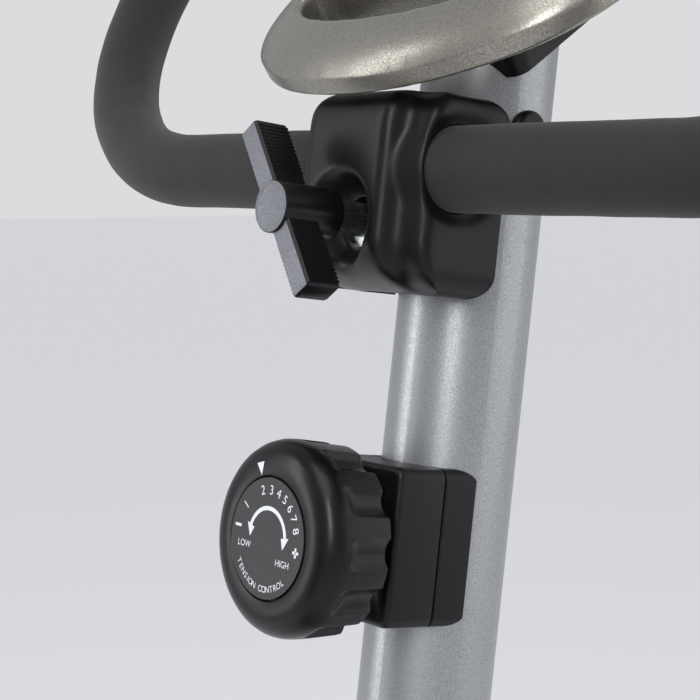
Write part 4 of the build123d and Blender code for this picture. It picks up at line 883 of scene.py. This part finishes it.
rim.data.materials.append(rim_paint)
rim.data.shade_smooth()
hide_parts("console_rim")
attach(rim, "frame")
print("rim faces", len(rim.data.polygons))

# %% [markdown]
# **The screen** shows a row of seven-segment figures. Each figure is up to seven slanted bars of
# dark ink, just proud of the glass.

# %% Display figures
segments = {"a": (0, 5, 5, 5), "b": (5, 5, 5, 0.4), "c": (5, -0.4, 5, -5), "d": (0, -5, 5, -5),
            "e": (0, -0.4, 0, -5), "f": (0, 5, 0, 0.4), "g": (0, 0, 5, 0)}
lit_segments = {"0": "abcdef", "1": "bc", "2": "abged", "3": "abgcd", "4": "fgbc", "5": "afgcd",
                "8": "abcdefg"}
bits = []
readings = (("0:00", -34, 145, 1.5), ("0.0", 14, 145, 1.5), ("000", -34, 121, 1.0), ("00", 14, 121, 1.0))
for text, x0, y0, size in readings:
    x = x0
    for character in text:
        if character in ":.":
            for dot in ((2.4, -2.4) if character == ":" else (-4.8,)):
                low, high = y0 + dot * size - 0.5, y0 + dot * size + 0.5
                bits.append(([(x, low), (x + 1, low), (x + 1, high), (x, high)], [[0, 1, 2, 3]]))
            x += 2.6 * size
            continue
        for key in lit_segments[character]:
            x1, y1, x2, y2 = (v * size for v in segments[key])
            wide = 0.55 * size
            if y1 == y2:
                a, b = x1 + 0.7, x2 - 0.7
                corners = [(a, y1 - wide), (b, y2 - wide), (b, y2 + wide), (a, y1 + wide)]
            else:
                a, b = y1 - 0.4, y2 + 0.4
                corners = [(x1 - wide, a), (x1 - wide, b), (x1 + wide, b), (x1 + wide, a)]
            bits.append(([(x + cx + (cy + 5) * 0.08, y0 + cy) for cx, cy in corners], [[0, 1, 2, 3]]))
        x += 8.2 * size
digits = ink_mesh("display_figures", bits, segment_ink, lambda x, y: on_console(x, y, 26.55))
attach(digits, "frame")
print("display bars", len(digits.data.polygons))

# %% [markdown]
# **The foam grips** follow the bent bar. The same centre line is walked in small steps, and a ring
# is set square to it at each. Real foam is never quite round, so a slow noise of a few tenths of a
# millimetre moves the surface, and the cut ends are eased.

# %% Foam grips
def bar_line(side, start):
    """Points of one arm's centre line from start mm off the middle to the tip."""
    out, rise = Vector((0, side, 0)), Vector((math.sin(math.radians(35)), 0, math.cos(math.radians(35))))
    centre = clamp + (up * 19.6 + rider * 40) * MM
    corner = centre + out * 131 * MM
    line = [centre + out * (start + (131 - start) * i / 24) * MM for i in range(24)]
    for i in range(36):
        a = math.radians(85 * i / 36)
        line.append(corner + (out * math.sin(a) + rise * (1 - math.cos(a))) * 125 * MM)
    a = math.radians(85)
    top = corner + (out * math.sin(a) + rise * (1 - math.cos(a))) * 125 * MM
    heading = out * math.cos(a) + rise * math.sin(a)
    forward = (Vector((1, 0, 0)) - heading * heading.x).normalized()
    for i in range(37):
        b = math.radians(40 * i / 36)
        line.append(top + (heading * math.sin(b) + forward * (1 - math.cos(b))) * 255 * MM)
    b = math.radians(40)
    way = heading * math.cos(b) + forward * math.sin(b)
    return line + [line[-1] + way * 28 * MM * i / 5 for i in range(1, 6)]


def tube_rows(line, radius, sides, wobble):
    """Rings square to a line, carried along it without twisting."""
    rows, side = [], None
    for i, point in enumerate(line):
        way = (line[min(i + 1, len(line) - 1)] - line[max(i - 1, 0)]).normalized()
        side = (side - way * side.dot(way)).normalized() if side else way.orthogonal().normalized()
        other = way.cross(side)
        row = []
        for k in range(sides):
            t = 2 * math.pi * k / sides
            direction = side * math.cos(t) + other * math.sin(t)
            soft = wobble * noise.noise((point + direction * 0.012) * 55.0)
            row.append(point + direction * (radius + soft) * MM)
        rows.append(row)
    return rows


for side, name in ((1, "left_foam_grip"), (-1, "right_foam_grip")):
    line = bar_line(side, 29.5)
    inward, outward = (line[1] - line[0]).normalized(), (line[-1] - line[-2]).normalized()
    outer = tube_rows(line, 15.1, 56, 0.28)
    inner = tube_rows(line, 12.75, 56, 0.0)

    def eased(row, centre, amount):
        return [centre + (p - centre) * (1 - amount / 15.1) for p in row]

    first = [eased(outer[0], line[0], 1.6)]
    start_steps = ((0.25, 0.8), (0.8, 0.2))
    start = [[p + inward * d * MM for p in eased(outer[0], line[0], e)] for d, e in start_steps]
    end_steps = ((0.8, 0.2), (0.25, 0.8), (0.0, 1.6))
    finish = [[p - outward * d * MM for p in eased(outer[-1], line[-1], e)] for d, e in end_steps]
    rows = first + start + outer[1:-1] + finish + list(reversed(inner))
    grip = skin(name, rows, foam, join_ends=True, sharp=50)
    if side == 1:
        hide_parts("foam_grips")
    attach(grip, "bars")
    print(name, "faces", len(grip.data.polygons))

# %% [markdown]
# **The saddle** is moulded foam under a stretched vinyl cover: wide and raised at the back, dished
# where the rider sits, with a groove down its middle. It is built as rings from the edge to the
# spine, each a smaller copy of the outline, with its height from a rule, then subdivided.

# %% Saddle
saddle_x, shell_z = -148.8, 869.3


def saddle_half_width(t):
    """Half width in mm at t along the saddle, from 0 at its back to 1 at its nose."""
    back = 116 * math.sqrt(max(0.0, 1 - (max(0.0, 0.255 - t) / 0.255) ** 2.3))
    front = 30 + 86 * (1 - smooth((t - 0.22) / 0.42))
    nose = math.sqrt(max(0.0, 1 - (max(0.0, t - 0.86) / 0.14) ** 2))
    return min(back, front) * nose * (1 - 0.08 * t)


def saddle_outline(count=60):
    rear_x, length = saddle_x - 110.0, 262.0
    ts = [(1 - math.cos(math.pi * i / (count - 1))) / 2 for i in range(count)]
    left = [(rear_x + length * t, saddle_half_width(t)) for t in ts]
    return left + [(x, -y) for x, y in reversed(left[1:-1])]


edge_loop = saddle_outline()


def saddle_top(x, y, share):
    """Height above the pan's top face at a point; share is 0 at the edge and 1 on the spine."""
    t = (x - (saddle_x - 110)) / 262
    crown = 43 + 8 * smooth((0.28 - t) / 0.28) - 6 * smooth((t - 0.2) / 0.5) + 5 * smooth((t - 0.75) / 0.25)
    groove = 5.5 * math.exp(-((y / 9.0) ** 2)) * smooth((t - 0.12) / 0.15) * smooth((0.95 - t) / 0.2)
    return crown * (1 - (1 - smooth(share * 1.9)) ** 1.6) ** 0.5 - groove * smooth(share * 3)


def saddle_ring(share, z, use_top):
    row = []
    for x, y in edge_loop:
        cx = saddle_x - 110 + 262 * min(0.9, max(0.24, (x - saddle_x + 110) / 262))
        px, py = x + (cx - x) * share, y * (1 - share)
        height = z + (saddle_top(px, py, share) if use_top else 0.0)
        row.append(Vector((px, py, shell_z + 12 + height)) * MM)
    return row


underside = ((1.0, 0.4), (0.5, 0.4), (0.07, 0.4), (0.03, 1.5), (0.01, 6.0), (0.0, 9.0), (0.0, 10.5))
rows = [saddle_ring(s, height, False) for s, height in underside]
crown = (0.015, 0.035, 0.06, 0.1, 0.15, 0.22, 0.3, 0.4, 0.5, 0.6, 0.7, 0.8, 0.88, 0.94, 0.98, 1.0)
rows += [saddle_ring(s, 10.5 - 9 * s, True) for s in crown]
pad = skin("saddle_cushion", rows, vinyl, sharp=180)
bm = bmesh.new()
bm.from_mesh(pad.data)
bmesh.ops.remove_doubles(bm, verts=bm.verts, dist=0.0012)
bmesh.ops.recalc_face_normals(bm, faces=bm.faces)
bm.to_mesh(pad.data)
bm.free()
subdivide = pad.modifiers.new("smooth", "SUBSURF")
subdivide.levels = subdivide.render_levels = 1
bake(pad)
pad.data.shade_smooth()
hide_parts("saddle_pad")
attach(pad, "saddle")
print("saddle faces", len(pad.data.polygons), "height", max(v.co.z for v in pad.data.vertices))

# %% [markdown]
# A piped seam runs round the saddle's widest line, and a row of stitches beside it. Geometry
# Nodes walks a closed line and sets one short stitch every 4 mm, turned along the line.

# %% Saddle seam and stitches
def loop_mesh(name, points):
    mesh = bpy.data.meshes.new(name)
    mesh.from_pydata(points, [(i, (i + 1) % len(points)) for i in range(len(points))], [])
    return mesh


def bead_tree(name, material):
    """A tree that runs a round bead along a closed line."""
    tree, given = new_tree(name, [("Radius", "NodeSocketFloat", 0.0015)])
    route = add_node(tree, "GeometryNodeMeshToCurve", {"Mesh": given["Geometry"]})
    ring = add_node(tree, "GeometryNodeCurvePrimitiveCircle", {"Resolution": 12, "Radius": given["Radius"]})
    pipe = add_node(tree, "GeometryNodeCurveToMesh", {"Curve": route.outputs["Curve"],
                    "Profile Curve": ring.outputs["Curve"]})
    end_tree(tree, pipe.outputs["Mesh"], material)
    return tree


seam_tree = bead_tree("piping_round_a_line", vinyl)

stitch_tree, given = new_tree("stitches_along_a_line", [("Spacing", "NodeSocketFloat", 0.004),
                              ("Length", "NodeSocketFloat", 0.0028), ("Radius", "NodeSocketFloat", 0.0004)])
route = add_node(stitch_tree, "GeometryNodeMeshToCurve", {"Mesh": given["Geometry"]})
spots = add_node(stitch_tree, "GeometryNodeCurveToPoints", {"Curve": route.outputs["Curve"],
                 "Length": given["Spacing"]}, mode="LENGTH")
short = add_node(stitch_tree, "GeometryNodeMeshCylinder", {"Vertices": 6, "Radius": given["Radius"],
                 "Depth": given["Length"]})
turned = add_node(stitch_tree, "FunctionNodeAlignEulerToVector", {"Vector": spots.outputs["Tangent"]},
                  axis="Z")
copies = add_node(stitch_tree, "GeometryNodeInstanceOnPoints", {"Points": spots.outputs["Points"],
                  "Instance": short.outputs["Mesh"], "Rotation": turned.outputs["Rotation"]})
end_tree(stitch_tree, copies.outputs["Instances"], thread)

piping_line = loop_mesh("piping_line", saddle_ring(0.006, 10.0, False))
piping = run_tree("saddle_piping", seam_tree, {"Radius": 0.0015}, piping_line)
piping.data.shade_smooth()
stitch_share, proud = 0.035, Vector((0, 0, 0.0003))
stitch_ring = [p + proud for p in saddle_ring(stitch_share, 10.5 - 9 * stitch_share, True)]
stitches = run_tree("saddle_stitches", stitch_tree, {}, loop_mesh("stitch_line", stitch_ring))
for piece in (piping, stitches):
    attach(piece, "saddle")
print("piping", len(piping.data.polygons), "stitch faces", len(stitches.data.polygons))

# %% [markdown]
# **The drive covers** each carry a champagne bead that echoes their outline, and a ring round
# the crank. Both follow a rule, the outline of two circles joined by straight lines, so the same
# bead tree makes them.

# %% Cover beads
crank_centre, flywheel_centre = Vector((-30, 310)), Vector((300, 270))
bead_side, crank_ring_radius = 73.1, 31


def hull_line(radius_rear, radius_front, y, count=260):
    """The outline round the crank's circle and the flywheel's, as points at one side."""
    circles = ((crank_centre, radius_rear), (flywheel_centre, radius_front))
    points = []
    for i in range(count):
        a = 2 * math.pi * i / count
        d = Vector((math.cos(a), math.sin(a)))
        centre, radius = max(circles, key=lambda c: c[0].dot(d) + c[1])
        points.append(Vector((centre.x + d.x * radius, y, centre.y + d.y * radius)) * MM)
    return points


trim_tree = bead_tree("trim_bead_round_a_line", rim_paint)
for side, name in ((1, "left"), (-1, "right")):
    outline = loop_mesh(f"{name}_bead_line", hull_line(109, 117, side * bead_side))
    bead = run_tree(f"{name}_cover_bead", trim_tree, {"Radius": 0.0014}, outline)
    ring_line = []
    for i in range(90):
        a = 2 * math.pi * i / 90
        x = crank_centre.x + crank_ring_radius * math.cos(a)
        z = crank_centre.y + crank_ring_radius * math.sin(a)
        ring_line.append(Vector((x, side * bead_side, z)) * MM)
    circle = loop_mesh(f"{name}_ring_line", ring_line)
    ring = run_tree(f"{name}_crank_ring", trim_tree, {"Radius": 0.0018}, circle)
    for piece in (bead, ring):
        piece.data.shade_smooth()
        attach(piece, "frame")
    print(name, "bead faces", len(bead.data.polygons))

# %% [markdown]
# The bike stands on a plain pale floor that runs off in every direction, so no wall can come
# between it and the camera. The sky behind is the same pale grey to the eye, but gives less
# light than it shows, so that the soft boxes do the modelling.

# %% Floor and sky
floor_mesh = bpy.data.meshes.new("studio_floor")
reach = 40.0
floor_mesh.from_pydata([(-reach, -reach, 0), (reach, -reach, 0), (reach, reach, 0), (-reach, reach, 0)], [],
                       [(0, 1, 2, 3)])
floor_finish = plain_ink("pale_studio_floor", "#d6d6d8", 0.8, 0.02)
floor_glow = next(n for n in floor_finish.node_tree.nodes if n.type == "BSDF_PRINCIPLED")
floor_glow.inputs["Emission Color"].default_value = linear("#dcdcde")
floor_glow.inputs["Emission Strength"].default_value = 0.42
floor = bpy.data.objects.new("studio_floor", floor_mesh)
bpy.context.scene.collection.objects.link(floor)
floor_mesh.materials.append(floor_finish)

world = bpy.data.worlds.new("pale_studio")
bpy.context.scene.world = world
world.use_nodes = True
world.node_tree.nodes.clear()
seen = add_node(world.node_tree, "ShaderNodeLightPath").outputs["Is Camera Ray"]
lit = add_node(world.node_tree, "ShaderNodeBackground", {"Color": linear("#d8dadf"), "Strength": 0.73})
shown = add_node(world.node_tree, "ShaderNodeBackground", {"Color": linear("#dcdcde"), "Strength": 1.0})
mixed = add_node(world.node_tree, "ShaderNodeMixShader", {0: seen, 1: lit.outputs[0], 2: shown.outputs[0]})
add_node(world.node_tree, "ShaderNodeOutputWorld", {"Surface": mixed.outputs[0]})
print("floor reach", reach, "m")

# %% [markdown]
# Two tall soft boxes light the object, one square to the camera's left and one beside the camera.
# Each draws one of the two bright bands that run down the silver post. A broad, faint one from
# the right lifts the shadowed edge.

# %% Lights
view_from = Vector((-0.1996, -0.4810, 1.0517))
turn_a, tilt_e = math.radians(-38.424), math.radians(5.647)
back = Vector((math.sin(turn_a) * math.cos(tilt_e), -math.cos(turn_a) * math.cos(tilt_e), math.sin(tilt_e)))


def soft_box(name, around, height, distance, width, tall, watts, colour="#ffffff"):
    """An area light at an angle round the clamp from the camera's side, positive to its left."""
    flat = Vector((back.x, back.y, 0)).normalized()
    a = math.radians(around)
    way = Vector((flat.x * math.cos(a) + flat.y * math.sin(a), -flat.x * math.sin(a) + flat.y * math.cos(a),
                 0))
    light = bpy.data.lights.new(name, "AREA")
    light.shape, light.size, light.size_y = "RECTANGLE", width, tall
    light.energy, light.color = watts, linear(colour)[:3]
    lamp = bpy.data.objects.new(name, light)
    lamp.location = Vector((clamp.x, 0, height)) + way * distance
    lamp.rotation_euler = (Vector((clamp.x, 0, 0.95)) - lamp.location).to_track_quat("-Z", "Y").to_euler()
    bpy.context.scene.collection.objects.link(lamp)


soft_box("left_soft_box", 92, 1.4, 1.9, 0.42, 1.9, 12.5)
soft_box("camera_soft_box", 15, 1.75, 1.6, 0.26, 1.1, 14)
soft_box("right_broad_box", -82, 1.5, 2.2, 2.6, 2.0, 15)
soft_box("overhead_box", 20, 3.0, 0.9, 1.4, 1.4, 16)

# %% [markdown]
# The camera stands close to the clamp and a little above it, looking across the bars.

# %% Camera
camera_data = bpy.data.cameras.new("studio_camera")
camera_data.lens, camera_data.sensor_width, camera_data.clip_start = 89.36, 36.0, 0.02
camera = bpy.data.objects.new("studio_camera", camera_data)
camera.location = view_from
camera.rotation_euler = (-back).to_track_quat("-Z", "Y").to_euler()
bpy.context.scene.collection.objects.link(camera)
bpy.context.scene.camera = camera
bpy.context.scene.view_settings.view_transform = "Standard"
print("lens", camera_data.lens, "mm")
